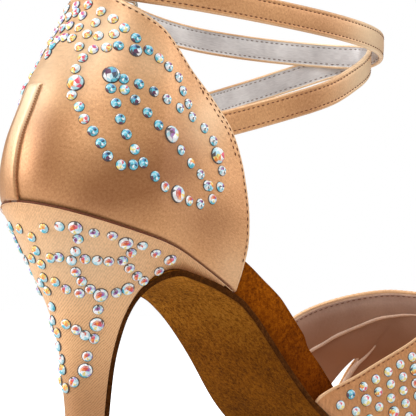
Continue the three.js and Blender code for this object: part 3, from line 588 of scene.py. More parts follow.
def satin(name, light, dark, twill=0.0, rough=0.40, metal=0.30):
    """Woven satin: long floats with a soft gloss, fine slubs, a slow change of tone, and painted shade
    and painted highlight where the mesh holds them.
    """
    n = Nodes(name)
    floats = n.noise(n.place((2.6, 0.75, 1), 0.12), 1.7, 3.0, 0.66)
    picks = n.noise(n.place((0.7, 3.2, 1), -0.05), 1.5, 2.0, 0.6)
    cloud = n.noise(n.place((1, 1, 1)), 0.055, 3.0, 0.55)
    swell = n.noise(n.place((1, 0.8, 1)), 0.045, 1.0, 0.5)
    fleck = n.noise(n.place((1, 1, 1)), 1.3, 2.0, 0.6)
    tone = n.math("MULTIPLY_ADD", floats, 0.55, n.math("MULTIPLY", cloud, 0.35))
    tone = n.math("MULTIPLY_ADD", fleck, 0.55, tone)
    weave = n.math("MULTIPLY_ADD", fleck, 0.9, n.math("MULTIPLY_ADD", picks, 0.7, floats))
    if twill:
        rib = n.add("TexWave", {"Vector": n.place((1, 1, 1), math.radians(38)), "Scale": 0.52,
                                "Distortion": 5.0, "Detail": 1.0, "Detail Scale": 0.45},
                    wave_type="BANDS", bands_direction="Y").outputs["Fac"]
        fade = n.math("MULTIPLY_ADD", n.ramp(n.height_of(), *TWILL_FADE), 0.75, 0.25)
        rib = n.math("MULTIPLY", rib, fade)
        weave = n.math("MULTIPLY_ADD", rib, twill, weave)
        tone = n.math("MULTIPLY_ADD", rib, 0.5 * twill, tone)
    base = n.mix_colour(n.ramp(tone, 0.50, 0.95), dark, light)
    # Painted shade darkens the satin and painted highlight lightens it, zone by zone
    base = n.mix_colour(n.value_of("painted_shade"), base, PAINTED_SHADE_TINT, "MULTIPLY")
    base = n.mix_colour(n.value_of("painted_highlight"), base, PAINTED_HIGHLIGHT_TINT)
    n.set(base=base, rough=n.math("MULTIPLY_ADD", picks, 0.12, rough - 0.06), metal=metal,
          specular=0.5, sheen=0.12, sheen_rough=0.4, sheen_tint=rgb(255, 226, 190),
          normal=n.bump(weave, 0.09, 0.5, n.bump(swell, 1.6, 0.7)))
    return n.material


def lining(name, light, dark, rough=0.45, grain=(0.5, 4.0), low=None):
    """Smooth lining with a brushed grain, and another colour where it lies low, a painted reflection
    of the brown sole.
    """
    n = Nodes(name)
    streak = n.noise(n.place((grain[1], grain[0], 1)), 1.2, 3.0, 0.6)
    cloud = n.noise(n.place(), 0.07, 3.0, 0.5)
    tone = n.math("MULTIPLY_ADD", streak, 0.3, n.math("MULTIPLY", cloud, 0.7))
    base = n.mix_colour(n.ramp(tone, 0.35, 0.70), dark, light)
    # Painted reflection of the brown sole on the lining low down
    if low:
        base = n.mix_colour(n.ramp(n.height_of(), *LINING_REFLECTION_FADE), base, low)
    n.set(base=base, rough=rough, specular=0.5, sheen=0.1, normal=n.bump(streak, 0.04, 0.4))
    return n.material


def suede(name, light, mid, dark, nap=1.0, fade=None):
    """Brushed suede: clumped nap in several sizes, very matt.

    fade holds the heights between which it darkens, a painted shade lower down, and the tint that it
    takes there.
    """
    n = Nodes(name)
    hair = n.noise(n.solid_place((1.1, 1.1, 1.1)), 2.0, 4.0, 0.72)
    clump = n.noise(n.solid_place((1, 1, 1)), 0.85, 4.0, 0.70)
    patch = n.noise(n.solid_place((1, 1, 1)), 0.055, 3.0, 0.6)
    tone = n.math("MULTIPLY_ADD", hair, 0.60, n.math("MULTIPLY", clump, 0.70))
    tone = n.math("MULTIPLY_ADD", patch, 0.22, tone)
    low = n.mix_colour(n.ramp(tone, 0.62, 0.77), dark, mid)
    base = n.mix_colour(n.ramp(tone, 0.76, 0.90), low, light)
    if fade:
        # Painted shade lower down
        high_end, low_end, tint = fade
        base = n.mix_colour(n.ramp(n.height_of(), high_end, low_end), base, (*tint, 1), "MULTIPLY")
    n.set(base=n.mix_colour(n.value_of("rim"), base, dark), rough=0.95, specular=0.04, sheen=0.10,
          sheen_rough=0.6, sheen_tint=light,
          normal=n.bump(n.math("ADD", hair, n.math("MULTIPLY", clump, 1.3)), 0.45 * nap, 0.9))
    return n.material


def plain(name, light, dark, scale, rough, bump=0.05, metal=0.0, coat=0.0):
    """Fine-grained surface that changes a little in tone and gloss."""
    n = Nodes(name)
    grain = n.noise(n.solid_place((1, 1, 1)), scale, 4.0, 0.6)
    cloud = n.noise(n.solid_place((1, 1, 1)), scale * 0.12, 3.0, 0.55)
    n.set(base=n.mix_colour(n.ramp(n.math("ADD", grain, cloud), 0.7, 1.3), dark, light),
          rough=n.math("MULTIPLY_ADD", cloud, 0.2, rough - 0.1), metal=metal, coat=coat,
          normal=n.bump(grain, bump, 0.6))
    return n.material


def crystal(name):
    """Cut glass with a foil back: each facet carries painted light, the highlight, reflection or shade
    that it throws.
    """
    n = Nodes(name)
    facet = n.add("Attribute", attribute_name="facet").outputs["Color"]
    speck = n.noise(n.solid_place((1, 1, 1)), 2.0, 1.0, 0.5)
    n.set(base=n.mix_colour(n.math("MULTIPLY", speck, 0.10), facet, rgb(255, 255, 255)),
          rough=n.math("MULTIPLY_ADD", speck, 0.05, 0.20), metal=0.0, specular=0.20, coat=0.06,
          coat_rough=0.06, ior=1.5)
    return n.material


SATIN = satin("satin_upper", rgb(233, 177, 124), rgb(185, 125, 76))
SATIN_VAMP = satin("satin_vamp", rgb(218, 156, 102), rgb(172, 112, 66), metal=0.2)
# Lighter copy of the satin for rolled edges and folds: a painted highlight where they catch the light
SATIN_EDGE_HIGHLIGHT = satin("satin_fold_painted_highlight", rgb(244, 202, 156), rgb(212, 160, 114))
# Dark copy of the satin for the seam above the heel: painted shadow in the gap
SEAM_SHADOW = satin("satin_painted_seam_shadow", rgb(122, 58, 20), rgb(72, 30, 8), metal=0.0, rough=0.8)
SATIN_HEEL = satin("satin_heel", rgb(242, 188, 134), rgb(178, 122, 76), twill=0.85, rough=0.50,
                   metal=0.05)
SILVER = lining("lining_silver", rgb(240, 236, 234), rgb(178, 172, 171), 0.40, (2.4, 0.35))
# The silver lining painted as in shade, where it lies inside the cup and the vamp
LINING_IN_SHADE = lining("lining_painted_shade", rgb(206, 178, 164), rgb(176, 146, 132), 0.5, (1.2, 1.2),
               rgb(172, 122, 92))
FOLD = plain("lining_fold", rgb(250, 224, 204), rgb(228, 194, 170), 1.4, 0.5)
# Painted shade darkens the sole's suede lower down
SUEDE = suede("suede_sole", rgb(246, 172, 66), rgb(206, 132, 38), rgb(108, 58, 8), 1.0,
              (72, 34, (.34, .26, .13)))
SUEDE_CUT = suede("suede_cut_edge", rgb(158, 94, 40), rgb(104, 56, 18), rgb(54, 27, 6), 0.8)
# Painted shade darkens the insole's nubuck lower down
NUBUCK = suede("nubuck_insole", rgb(160, 88, 10), rgb(134, 66, 4), rgb(92, 42, 2), 0.35,
               (56.0, 22.0, (0.50, 0.38, 0.35)))
SOCK = plain("sock_leather", rgb(206, 168, 128), rgb(184, 142, 102), 1.2, 0.55)
THREAD = plain("thread_brown", rgb(124, 66, 34), rgb(74, 36, 16), 4.0, 0.8)
THREAD_SILVER = plain("thread_grey", rgb(150, 136, 128), rgb(110, 96, 88), 4.0, 0.6)
THREAD_RUST = plain("thread_rust", rgb(196, 128, 78), rgb(140, 78, 42), 4.0, 0.6)
TIP = plain("tip_plastic", rgb(52, 42, 36), rgb(30, 24, 20), 1.0, 0.45)
METAL = plain("buckle_metal", rgb(226, 220, 208), rgb(196, 188, 174), 0.8, 0.18, 0.01, 1.0)
CRYSTAL = crystal("crystal_facets")


def tube(name, lines, radius, material, sides=8, flat=1.0):
    """Round cords along lines given with their surface normals, joined in one piece.

    The radius is one number or one for each point, and flat is the share of it off the surface.
    """
    points, faces = [], []
    for line, normals in lines:
        along = unit(np.gradient(line, axis=0))
        up = unit(normals)
        across = unit(np.cross(up, along))
        width = np.broadcast_to(radius, (len(line),)) if np.ndim(radius) else np.full(
            len(line), float(radius))
        ends = np.minimum(np.arange(len(line)), np.arange(len(line))[::-1])
        width = width * np.where(ends == 0, 0.25, np.where(ends == 1, 0.75, 1.0))
        first = len(points)
        for p, u, a, w in zip(line, up, across, width):
            for k in range(sides):
                angle = 2 * math.pi * k / sides
                points.append(p + a * math.cos(angle) * w + u * math.sin(angle) * w * flat)
        faces += ring_faces(first, len(line), sides)
    return build(name, points, faces, [material], None, np.array(points))


# Heel cup
EDGE_FINE = (0.0, 0.12, 0.26, 0.42, 0.58, 0.74, 0.90, 1.06, 1.25, 1.55, 2.0, 2.7, 3.6, 4.8)
ROLL = 7                       # points round a folded edge
COUNTER_STITCH = 2.1           # pitch of the row along its edge
STITCH_IN = 1.15               # from the edge
EDGE_LOW = GAP + 1.2           # the edge's lowest rise over the seat
FOOT_FOLD = 0.55               # how far the cloth turns in at the cup's foot
COUNTER_HALF_COUNT, COUNTER_ROWS = 170, 34


def rolled(outer, inner, ahead):
    """Half round from the outer to the inner face, bulging ahead."""
    centre = (outer + inner) / 2
    arm = (outer - inner) / 2
    reach = np.linalg.norm(arm, axis=-1, keepdims=True)
    angles = np.linspace(0, math.pi, ROLL + 2)[1:-1]
    return np.stack([centre + arm * math.cos(a) + ahead * reach * math.sin(a) for a in angles], 1)


def levels(length, fine, coarse):
    """Distances from an edge, close together beside it."""
    scale = min(1.0, length / (fine[-1] * 2.2))
    near = [step * scale for step in fine]
    far = np.linspace(near[-1], length, coarse + 1)[1:]
    return np.concatenate([near, far])


def groove(distance, at, depth=0.16, width=0.30):
    """Trough that a row of stitches pulls into the cloth."""
    return -depth * np.exp(-((distance - at) / width) ** 2)


def counter_piece():
    """The cup's outer and inner faces and the rolled edge between them, column by column."""
    half = COUNTER_HALF_COUNT
    tip_g = float(cup_edge(1.0, -1)[0])
    columns = []
    for i in range(-half, half + 1):
        side = -1 if i < 0 else 1
        t = abs(i) / half
        edge_g, _, edge_rise = counter_edge(t, side)
        foot_g = t * tip_g
        top = cup(edge_g, side, edge_rise)
        foot = cup(foot_g, side, GAP)
        length = float(np.linalg.norm(top - foot))
        radius = min(WALL / 2, length * 0.4)
        distance = levels(length - radius, EDGE_FINE, COUNTER_ROWS)
        v = 1 - (distance + radius) / length
        g = mix(foot_g, edge_g, v)
        rise = mix(GAP, edge_rise, v)
        columns.append((side, g, rise, unit(top - foot), radius))
    side = np.array([c[0] for c in columns])[:, None]
    g = np.array([c[1] for c in columns])
    rise = np.array([c[2] for c in columns])
    points = cup(g, side, rise)
    normals = cup_normal(g, side, rise)
    seam = len(columns) // 2
    normals[seam, :, 1] = 0
    normals[seam] = unit(normals[seam])
    line = np.array([cup(*counter_edge(t, s)) for t, s in edge_walk(half)])
    off, run = nearest_on(line, points)
    relief = groove(off, STITCH_IN) + 0.05 * np.exp(-((off - 0.6) / 0.5) ** 2) * np.cos(
        2 * math.pi * run / COUNTER_STITCH)
    relief -= FOOT_FOLD * np.exp(-((rise - GAP) / 0.5) ** 2)
    outer = points + normals * relief[..., None]
    inner = points - normals * WALL
    ahead = np.array([c[3] for c in columns])
    radius = np.array([c[4] for c in columns])[:, None]
    start_out, start_in = outer[:, 0], inner[:, 0]
    arm = (start_out - start_in) / 2
    mid = (start_out + start_in) / 2
    roll = np.stack([mid + arm * math.cos(a) + ahead * radius * math.sin(a)
                     for a in np.linspace(0, math.pi, ROLL + 2)[1:-1]], 1)
    rings = np.concatenate([outer[:, ::-1], roll, inner], 1)
    rows = outer.shape[1]
    slot = [0] * (rows - 1) + [1] * (ROLL + 1) + [2] * (rows - 1) + [2]
    for j in range(3):
        slot[rows - 2 - j] = 1
        slot[rows + ROLL + j] = 1
    around = polyline_length(points[:, -1])
    u = np.broadcast_to(around[:, None], g.shape)
    cloth_out = stack(u[:, ::-1], rise[:, ::-1], 0 * u)
    cloth_roll = stack(np.broadcast_to(around[:, None], (len(around), ROLL)),
                       np.broadcast_to(rise[:, :1] + 1, (len(around), ROLL)), 0.0)
    cloth = np.concatenate([cloth_out, cloth_roll, stack(u, rise, 0 * u)], 1)
    # The rolled edge takes the lighter satin, a painted highlight
    return loft("heel_cup", rings, [SATIN, SATIN_EDGE_HIGHLIGHT, LINING_IN_SHADE], slot, cloth)


def counter_edge(t, side):
    """Edge of the cup as g, side and rise, kept clear of the seat."""
    g, rise = cup_edge(t, side)
    return float(g), side, max(float(rise), EDGE_LOW)


def edge_walk(half):
    """Along the whole edge of the cup, from the inner wing over the back to the outer wing."""
    return ([(i / half, -1) for i in range(half, 0, -1)] + [(i / half, 1) for i in range(half + 1)])


def beside_edge(inset, start=0.0, end=1.0, sides=(-1, 1), count=150):
    """Lines on the cup's surface that keep a distance from its edge, with normals."""
    rows = []
    for side in sides:
        t = np.linspace(start, end, count)
        g, rise = cup_edge(t, side)
        rise = np.maximum(rise, EDGE_LOW)
        line = cup(g, side, rise)
        normals = cup_normal(g, side, rise)
        along = unit(np.gradient(line, axis=0))
        inward = unit(np.cross(normals, along)) * side
        moved = line + inward * inset
        flip = moved[..., 2].mean() > line[..., 2].mean()
        moved = line - inward * inset if flip else moved
        g2, rise2 = cup_at(moved[:, 0], moved[:, 2], side)
        near_seam = moved[:, 0] < line[:, 0].min() + 0.4
        g2 = np.where(near_seam, g, g2)
        rise2 = np.where(near_seam, rise - inset, rise2)
        rows.append((cup(g2, side, rise2), cup_normal(g2, side, rise2)))
    return rows


heel_cup = counter_piece()
cup_rows = []
for line, normals in beside_edge(STITCH_IN, 0.02, 0.93):
    cup_rows.append((line - normals * 0.10, normals, COUNTER_STITCH))
    cup_rows.append((line - normals * (WALL + 0.02), -normals, COUNTER_STITCH))
for line, normals in beside_edge(STITCH_IN + 1.5, 0.46, 0.68):
    cup_rows.append((line + normals * 0.02, normals, COUNTER_STITCH))
cup_stitches = stitch_rows("heel_cup_stitches", cup_rows, THREAD, 1.1, 0.34)


# Strip over the back seam
def strip_piece():
    across, up = 17, 60
    half_g = STRIP_WIDTH / 2 / (SEAT_WIDTH / 2 * math.pi / 2)
    w = np.linspace(-1, 1, across)[:, None]
    rise = np.linspace(GAP, STRIP_HEIGHT, up)[None, :]
    side = np.where(w < 0, -1, 1)
    g, r = np.broadcast_arrays(np.abs(w) * half_g, rise)
    base = cup(g, side, r)
    normal = cup_normal(g, side, r)
    normal[across // 2, :, 1] = 0
    normal = unit(normal)
    rim = smoothstep(1 - np.abs(w), 0, 0.16)
    ends = smoothstep(np.minimum(rise - GAP, STRIP_HEIGHT - rise), 0, 0.7)
    seam = np.exp(-((np.abs(w) - 0.72) / 0.07) ** 2)
    height = GAP + STRIP_THICKNESS * (0.35 + 0.65 * rim * ends) - 0.12 * seam
    outer = base + normal * height[..., None]
    inner = base + normal * 0.02
    faces_grid = np.concatenate([outer, inner[::-1]], 0).transpose(1, 0, 2)
    cloth = np.concatenate([stack(w * STRIP_WIDTH / 2 + 0 * rise, rise + 0 * w, 0.0)] * 2, 0)
    slot = [0] * faces_grid.shape[1]
    return loft("back_seam_strip", faces_grid, [SATIN], slot, cloth.transpose(1, 0, 2)), half_g


back_strip, strip_half_g = strip_piece()
strip_rows = []
for side in (-1, 1):
    rise = np.linspace(GAP + 0.4, STRIP_HEIGHT - 0.4, 60)
    g = np.full(rise.shape, strip_half_g * 1.01)
    normals = cup_normal(g, side, rise)
    strip_rows.append((cup(g, side, rise) + normals * (GAP + 0.12), normals, 0.8))
strip_stitches = stitch_rows("back_strip_stitches", strip_rows, THREAD_RUST, 0.55, 0.42)

# Folded lower edge of the cup, in the seam above the heel, with a dark tube of painted shadow in the
# seam and a thin light tube of painted highlight on the fold
seam_gap, seam_fold = [], []
for side in (-1, 1):
    g = np.linspace(0.03, 1.93, 220)
    rise = np.zeros(g.shape)
    line = cup(g, side, rise)
    above = line[:, 0] < HEEL_END * SOLE_LENGTH - 1.5
    normals = cup_normal(g, side, rise + 0.5)
    seam_gap.append((line[above] - normals[above] * 0.12, normals[above]))
    fold = cup(g, side, rise - 0.45) + normals * 0.24
    seam_fold.append((fold[above], normals[above]))

seam_shadow_tube = tube("heel_cup_seam_shadow", seam_gap, 0.32, SEAM_SHADOW, 8, 0.9)
seam_highlight_tube = tube("heel_cup_seam_fold_highlight", seam_fold, 0.10, SATIN_EDGE_HIGHLIGHT, 6)

# Heel: BREAST is the curve of its front and of the arch, in the side view
LIP_END = (0.295, 0.32)        # shares of the sole where the curve is back on the feather line
HEEL_HALF_COUNT, HEEL_ROWS, HEEL_SEAT_REACH = 64, 140, 1.97
breast_path = [(BREAST_FORWARD, TIP_HEIGHT + GAP), (BREAST_FORWARD, ARCH_HEIGHT * 0.35)]
breast_path += [(BREAST_FORWARD + f * ARCH_HEIGHT, h * ARCH_HEIGHT)
                for f, h in zip(ARCH["forward"], ARCH["height"])]
for at, drop in zip(LIP["at"], LIP["drop"]):
    x, z, _ = feather(at * SOLE_LENGTH)
    breast_path.append((float(x), float(z) - drop))
for at in LIP_END:
    x, z, _ = feather(at * SOLE_LENGTH)
    breast_path.append((float(x), float(z)))


def centripetal(path, per_span=40):
    """Centripetal Catmull-Rom curve through points in the side view."""
    p = np.array(path, float)
    p = np.vstack([2 * p[0] - p[1], p, 2 * p[-1] - p[-2]])
    out = []
    for i in range(1, len(p) - 2):
        knots = [0.0]
        for k in range(3):
            knots.append(knots[-1] + np.linalg.norm(p[i + k] - p[i + k - 1]) ** 0.5)
        t0, t1, t2, t3 = knots
        for t in np.linspace(t1, t2, per_span, endpoint=False):
            a1 = (t1 - t) / (t1 - t0) * p[i - 1] + (t - t0) / (t1 - t0) * p[i]
            a2 = (t2 - t) / (t2 - t1) * p[i] + (t - t1) / (t2 - t1) * p[i + 1]
            a3 = (t3 - t) / (t3 - t2) * p[i + 1] + (t - t2) / (t3 - t2) * p[i + 2]
            b1 = (t2 - t) / (t2 - t0) * a1 + (t - t0) / (t2 - t0) * a2
            b2 = (t3 - t) / (t3 - t1) * a2 + (t - t1) / (t3 - t1) * a3
            out.append((t2 - t) / (t2 - t1) * b1 + (t - t1) / (t2 - t1) * b2)
    out.append(p[-2])
    return np.array(out)


BREAST = centripetal(breast_path)
breast_top = float(feather(along_at(BREAST_FORWARD))[1])


def heel_piece():
    """Rings round the heel from its seat to the tip, each one up to the sole's breast."""
    half_count, rows = HEEL_HALF_COUNT, HEEL_ROWS
    u_all = np.linspace(0, HEEL_SEAT_REACH, 900)
    top = GAP / feather(0)[1]
    floor_down = 1 - (TIP_HEIGHT + GAP) / heel_point(u_all, 1, 0 * u_all)[:, 2]
    rings, cloth = [], []
    for share in np.linspace(0, 1, rows) ** 1.8:
        down = mix(top, floor_down, share)
        depth = heel_front_depth(heel_point(u_all, 1, down))
        cut = np.nonzero(depth > 0)[0]
        last = HEEL_SEAT_REACH
        if len(cut):
            k = max(cut[0], 1)
            step = depth[k - 1] / (depth[k - 1] - depth[k])
            last = mix(u_all[k - 1], u_all[k], np.clip(step, 0, 1))
        u = np.linspace(0, last, half_count)
        d = np.interp(u, u_all, down)
        inner, outer = heel_point(u, -1, d)[::-1], heel_point(u, 1, d)[1:]
        ring = np.concatenate([inner, outer])
        girth = polyline_length(ring)
        rings.append(ring)
        cloth.append(stack(girth - girth[half_count - 1], ring[:, 2], 0.0))
    rings, cloth = np.array(rings), np.array(cloth)
    count = rings.shape[1]
    points = rings.reshape(-1, 3)
    faces = []
    for i in range(rows - 1):
        for j in range(count - 1):
            a = i * count + j
            faces.append((a, a + 1, a + count + 1, a + count))
        faces.append((i * count, (i + 1) * count, (i + 2) * count - 1, (i + 1) * count - 1))
    for row, flip in ((0, False), (rows - 1, True)):
        for k in range(half_count - 1):
            a, b = row * count + k, row * count + count - 1 - k
            quad = (a, a + 1, b - 1, b) if k < half_count - 2 else (a, a + 1, b)
            faces.append(quad if flip else quad[::-1])
    return build("heel_wrap", points, faces, [SATIN_HEEL], None, cloth.reshape(-1, 3))


def breast_offset():
    """The breast's curve, set back into the heel by the gap."""
    along = unit(np.gradient(BREAST, axis=0))
    curve = BREAST + np.stack([-along[:, 1], along[:, 0]], -1) * GAP
    rising = np.maximum.accumulate(curve[:, 0]) + np.arange(len(curve)) * 1e-6
    return rising, curve[:, 1]


def heel_front_depth(points):
    """Above 0 where a point lies below the sole's breast or arch."""
    x, z = points[..., 0], points[..., 2]
    return np.interp(x, *breast_offset(), left=-99) - z


heel_wrap = heel_piece()

# Suede sole
SOLE_ACROSS, SOLE_EDGE_FACES, SOLE_EDGE_PUFF = 41, 5, 0.12
SOLE_RIM_SHARE, SOLE_RIM_WIDTH = 0.75, 0.9    # the nap is darker beside the cut edge


def heel_half(z):
    return mix(HEEL_FOOT_WIDTH, SEAT_WIDTH, heel_width(1 - z / breast_top)) / 2


crown_forward = BREAST_FORWARD + ARCH["forward"][-1] * ARCH_HEIGHT


def sole_stations():
    """Middle line of the suede with its half width and the direction it is thick in."""
    run = polyline_length(BREAST)
    places = np.linspace(0, run[-1] * 0.985, 150)
    x = np.interp(places, run, BREAST[:, 0])
    z = np.interp(places, run, BREAST[:, 1])
    tangent = unit(np.gradient(np.stack([x, z], -1), axis=0))
    half, middle = outline(along_at(x))
    opened = smoothstep(x, BREAST_FORWARD, crown_forward + 4)
    rear = [x, z, tangent[:, 1], -tangent[:, 0],
            mix(heel_half(z) - BREAST_SET, half, opened), middle * opened]
    start = float(along_at(x[-1])) + 1.5
    t = (1 - np.cos(math.pi * np.linspace(0, 1, 170))) / 2
    along = mix(start, SOLE_LENGTH - 0.05, t)
    x, z, slope = feather(along)
    half, middle = outline(along)
    fore = [x, z, -np.sin(slope), -np.cos(slope), half, middle]
    return [np.concatenate(pair) for pair in zip(rear, fore)]


def sole_rings(x, z, down_x, down_z, half, middle):
    """Rings round the flat band of the sole, whose cut edges are a little rounded."""
    w = np.sin(np.linspace(-1, 1, SOLE_ACROSS) * math.pi / 2)
    top = stack(x[:, None], middle[:, None] + w * half[:, None], z[:, None])
    bottom = top + stack(down_x, 0 * x, down_z)[:, None] * OUTSOLE_THICKNESS
    near, far = [], []
    for s in np.linspace(0, 1, SOLE_EDGE_FACES + 1)[1:-1]:
        puff = SOLE_EDGE_PUFF * math.sin(math.pi * s)
        left = mix(top[:, 0], bottom[:, 0], s)
        right = mix(top[:, -1], bottom[:, -1], s)
        left[:, 1] -= puff
        right[:, 1] += puff
        near.append(left)
        far.append(right)
    return np.concatenate([top, np.stack(far, 1), bottom[:, ::-1], np.stack(near[::-1], 1)], 1)


def sole_piece():
    *band, half, middle = sole_stations()
    rings = sole_rings(*band, half, middle)
    slot = ([0] * (SOLE_ACROSS - 1) + [1] * SOLE_EDGE_FACES) * 2
    piece = loft("suede_outsole", rings, [SUEDE, SUEDE_CUT], slot)
    inside = half[:, None] - np.abs(rings[..., 1] - middle[:, None])
    worn_rim = SOLE_RIM_SHARE * np.exp(-(inside / SOLE_RIM_WIDTH) ** 2)
    add_values(piece, "rim", worn_rim.ravel())
    return piece


def add_values(piece, name, values):
    layer = piece.data.attributes.new(name, "FLOAT", "POINT")
    layer.data.foreach_set("value", np.asarray(values, np.float32))


suede_outsole = sole_piece()

# Insole
# Its side, over the share of its height from the top: how far it stands in from the straight line
INSOLE_SIDE = table(
    "down ease", (.04, .35), (.10, .12), (.2, 0), (.4, -.10), (.6, -.12), (.8, -.08), (.95, 0))
INSOLE_ACROSS, INSOLE_HOLLOW, INSOLE_CROWN = 33, -0.4, 1.2


def within(span, along):
    start, full, end, none = span
    at = along / SOLE_LENGTH
    return smoothstep(at, start, full) * (1 - smoothstep(at, end, none))


def insole_piece():
    clear = WALL + GAP + INSOLE_PLAY
    t = (1 - np.cos(math.pi * np.linspace(0, 1, 230))) / 2
    along = mix(clear, SOLE_LENGTH - clear, t)
    x, z, slope = feather(along)
    reach = SOLE_LENGTH / 2
    half, middle = outline(reach * (1 + (along - reach) / (reach - clear)))
    bare = within(BARE_SIDE, along)
    tall = within(TALL_SIDE, along)
    half = np.maximum(half - mix(clear, INSOLE_SET, bare), 0.02)
    upper = np.maximum(half - INSOLE_TAPER * (1 - bare), 0.01)
    height = mix(INSOLE_FORE, INSOLE_EDGE, tall)
    crown = mix(INSOLE_HOLLOW, INSOLE_CROWN, tall)
    up = stack(np.sin(slope), 0 * x, np.cos(slope))
    w = np.sin(np.linspace(-1, 1, INSOLE_ACROSS) * math.pi / 2)
    foot = stack(x, middle, z)

    def at(offset, rise):
        line = foot[:, None] + up[:, None] * rise[..., None]
        line[..., 1] += offset
        return line

    top = at(upper[:, None] * w, (GAP + height)[:, None] + crown[:, None] * (1 - w ** 2))
    under = at(half[:, None] * w, np.full((len(x), INSOLE_ACROSS), GAP))
    steps, ease = INSOLE_SIDE["down"], INSOLE_SIDE["ease"]
    sides = []
    for sign in (1, -1):
        offset = mix(upper[:, None], half[:, None], steps) - ease * np.minimum(half[:, None], 1)
        sides.append(at(sign * offset, (GAP + height[:, None] * (1 - steps))))
    rings = np.concatenate([top, sides[0], under[:, ::-1], sides[1][:, ::-1]], 1)
    sock = INSOLE_ACROSS - 1
    piece = loft("insole_sock", rings, [SOCK, NUBUCK], [0] * sock + [1] * (rings.shape[1] - sock))
    rise = rings[..., 2] - foot[:, None, 2]
    low = np.exp(-(np.maximum(rise, 0) / 1.6) ** 2)
    add_values(piece, "rim", (0.5 * low).ravel())
    return piece


insole_sock = insole_piece()

# Heel tip: each ring's height and how far it stands in from the outline
TIP_RINGS = ((0, 0.35), (0.12, 0.12), (0.4, 0), (4.9, 0), (5.0, 0.10), (5.1, 0), (TIP_HEIGHT, 0))


def tip_piece():
    front = BREAST_FORWARD + OUTSOLE_THICKNESS
    u = np.linspace(0, 1.6, 80)
    p = heel_point(u, 1, np.ones_like(u))
    p = p[p[:, 0] < front - 0.2]
    half = np.concatenate([p[:, 1], [p[-1, 1]]])
    x = np.concatenate([p[:, 0], [front]])
    ring = np.concatenate([stack(x, -half, 0 * x)[::-1], stack(x, half, 0 * x)[1:]])
    middle = ring.mean(0)
    rings = []
    for z, inset in TIP_RINGS:
        flat = ring - unit(ring - middle) * inset
        flat[:, 2] = z
        rings.append(flat)
    return loft("heel_tip_cap", rings, [TIP], [0] * len(ring))


heel_tip = tip_piece()

# Vamp
# Edges of the vamp's bands on the outer side, over x and turn
BAND_SHIFT = 1.0               # the slit and its bands lie this far ahead of the tables
FIRST_BAND = table(
    "turn x", (.50, 173), (.56, 171), (.60, 169), (.627, 167.5), (.658, 165.7), (.689, 163.4),
    (.719, 161.2), (.749, 158.8), (.781, 155.6), (.806, 152.6), (.837, 148.8), (.858, 145.4),
    (.90, 138.5), (.95, 130), (1, 122))
THIRD_BAND = table(
    "turn x", (.60, 168), (.70, 166), (.774, 165), (.807, 163.6), (.829, 162), (.854, 160.6),
    (.879, 159.2), (.92, 157), (1, 154))
SLIT_TIP, SLIT_LOW = 0.822, 1.0
SECOND_BAND = table(
    "turn x", (.822, 161.0), (.841, 159.3), (.861, 157.6), (.885, 155.4), (.93, 151), (1, 145))
VAMP_STITCH = 1.95
BAND_STEP = 0.45               # the first band lies this far inside the others
VAMP_TURNS, VAMP_ROWS, VAMP_GIRTH = 300, 70, 150
EDGE_SHARE = 0.5               # the wall thins to this share at the vamp's edges
CUTTER_REACH, CUTTER_SINK = (4.0, 60.0), 6.0

first_band = Track(FIRST_BAND["turn"], FIRST_BAND["x"])
third_band = Track(THIRD_BAND["turn"], THIRD_BAND["x"] + BAND_SHIFT)
second_band = Track(SECOND_BAND["turn"], SECOND_BAND["x"] + BAND_SHIFT)


def vamp_normal(x, turn, inward=0.0):
    dx = foot_point(x + 0.4, turn, inward) - foot_point(x - 0.4, turn, inward)
    low = np.clip(np.asarray(turn) - 0.004, 0.0005, 0.9995)
    high = np.clip(np.asarray(turn) + 0.004, 0.0005, 0.9995)
    dt = foot_point(x, high, inward) - foot_point(x, low, inward)
    normal = unit(np.cross(dx, dt))
    along = along_at(x)
    centre = stack(x, outline(along)[1], feather(along)[1])
    outward = ((foot_point(x, turn, inward) - centre) * normal).sum(-1) > 0
    return np.where(outward[..., None], normal, -normal)


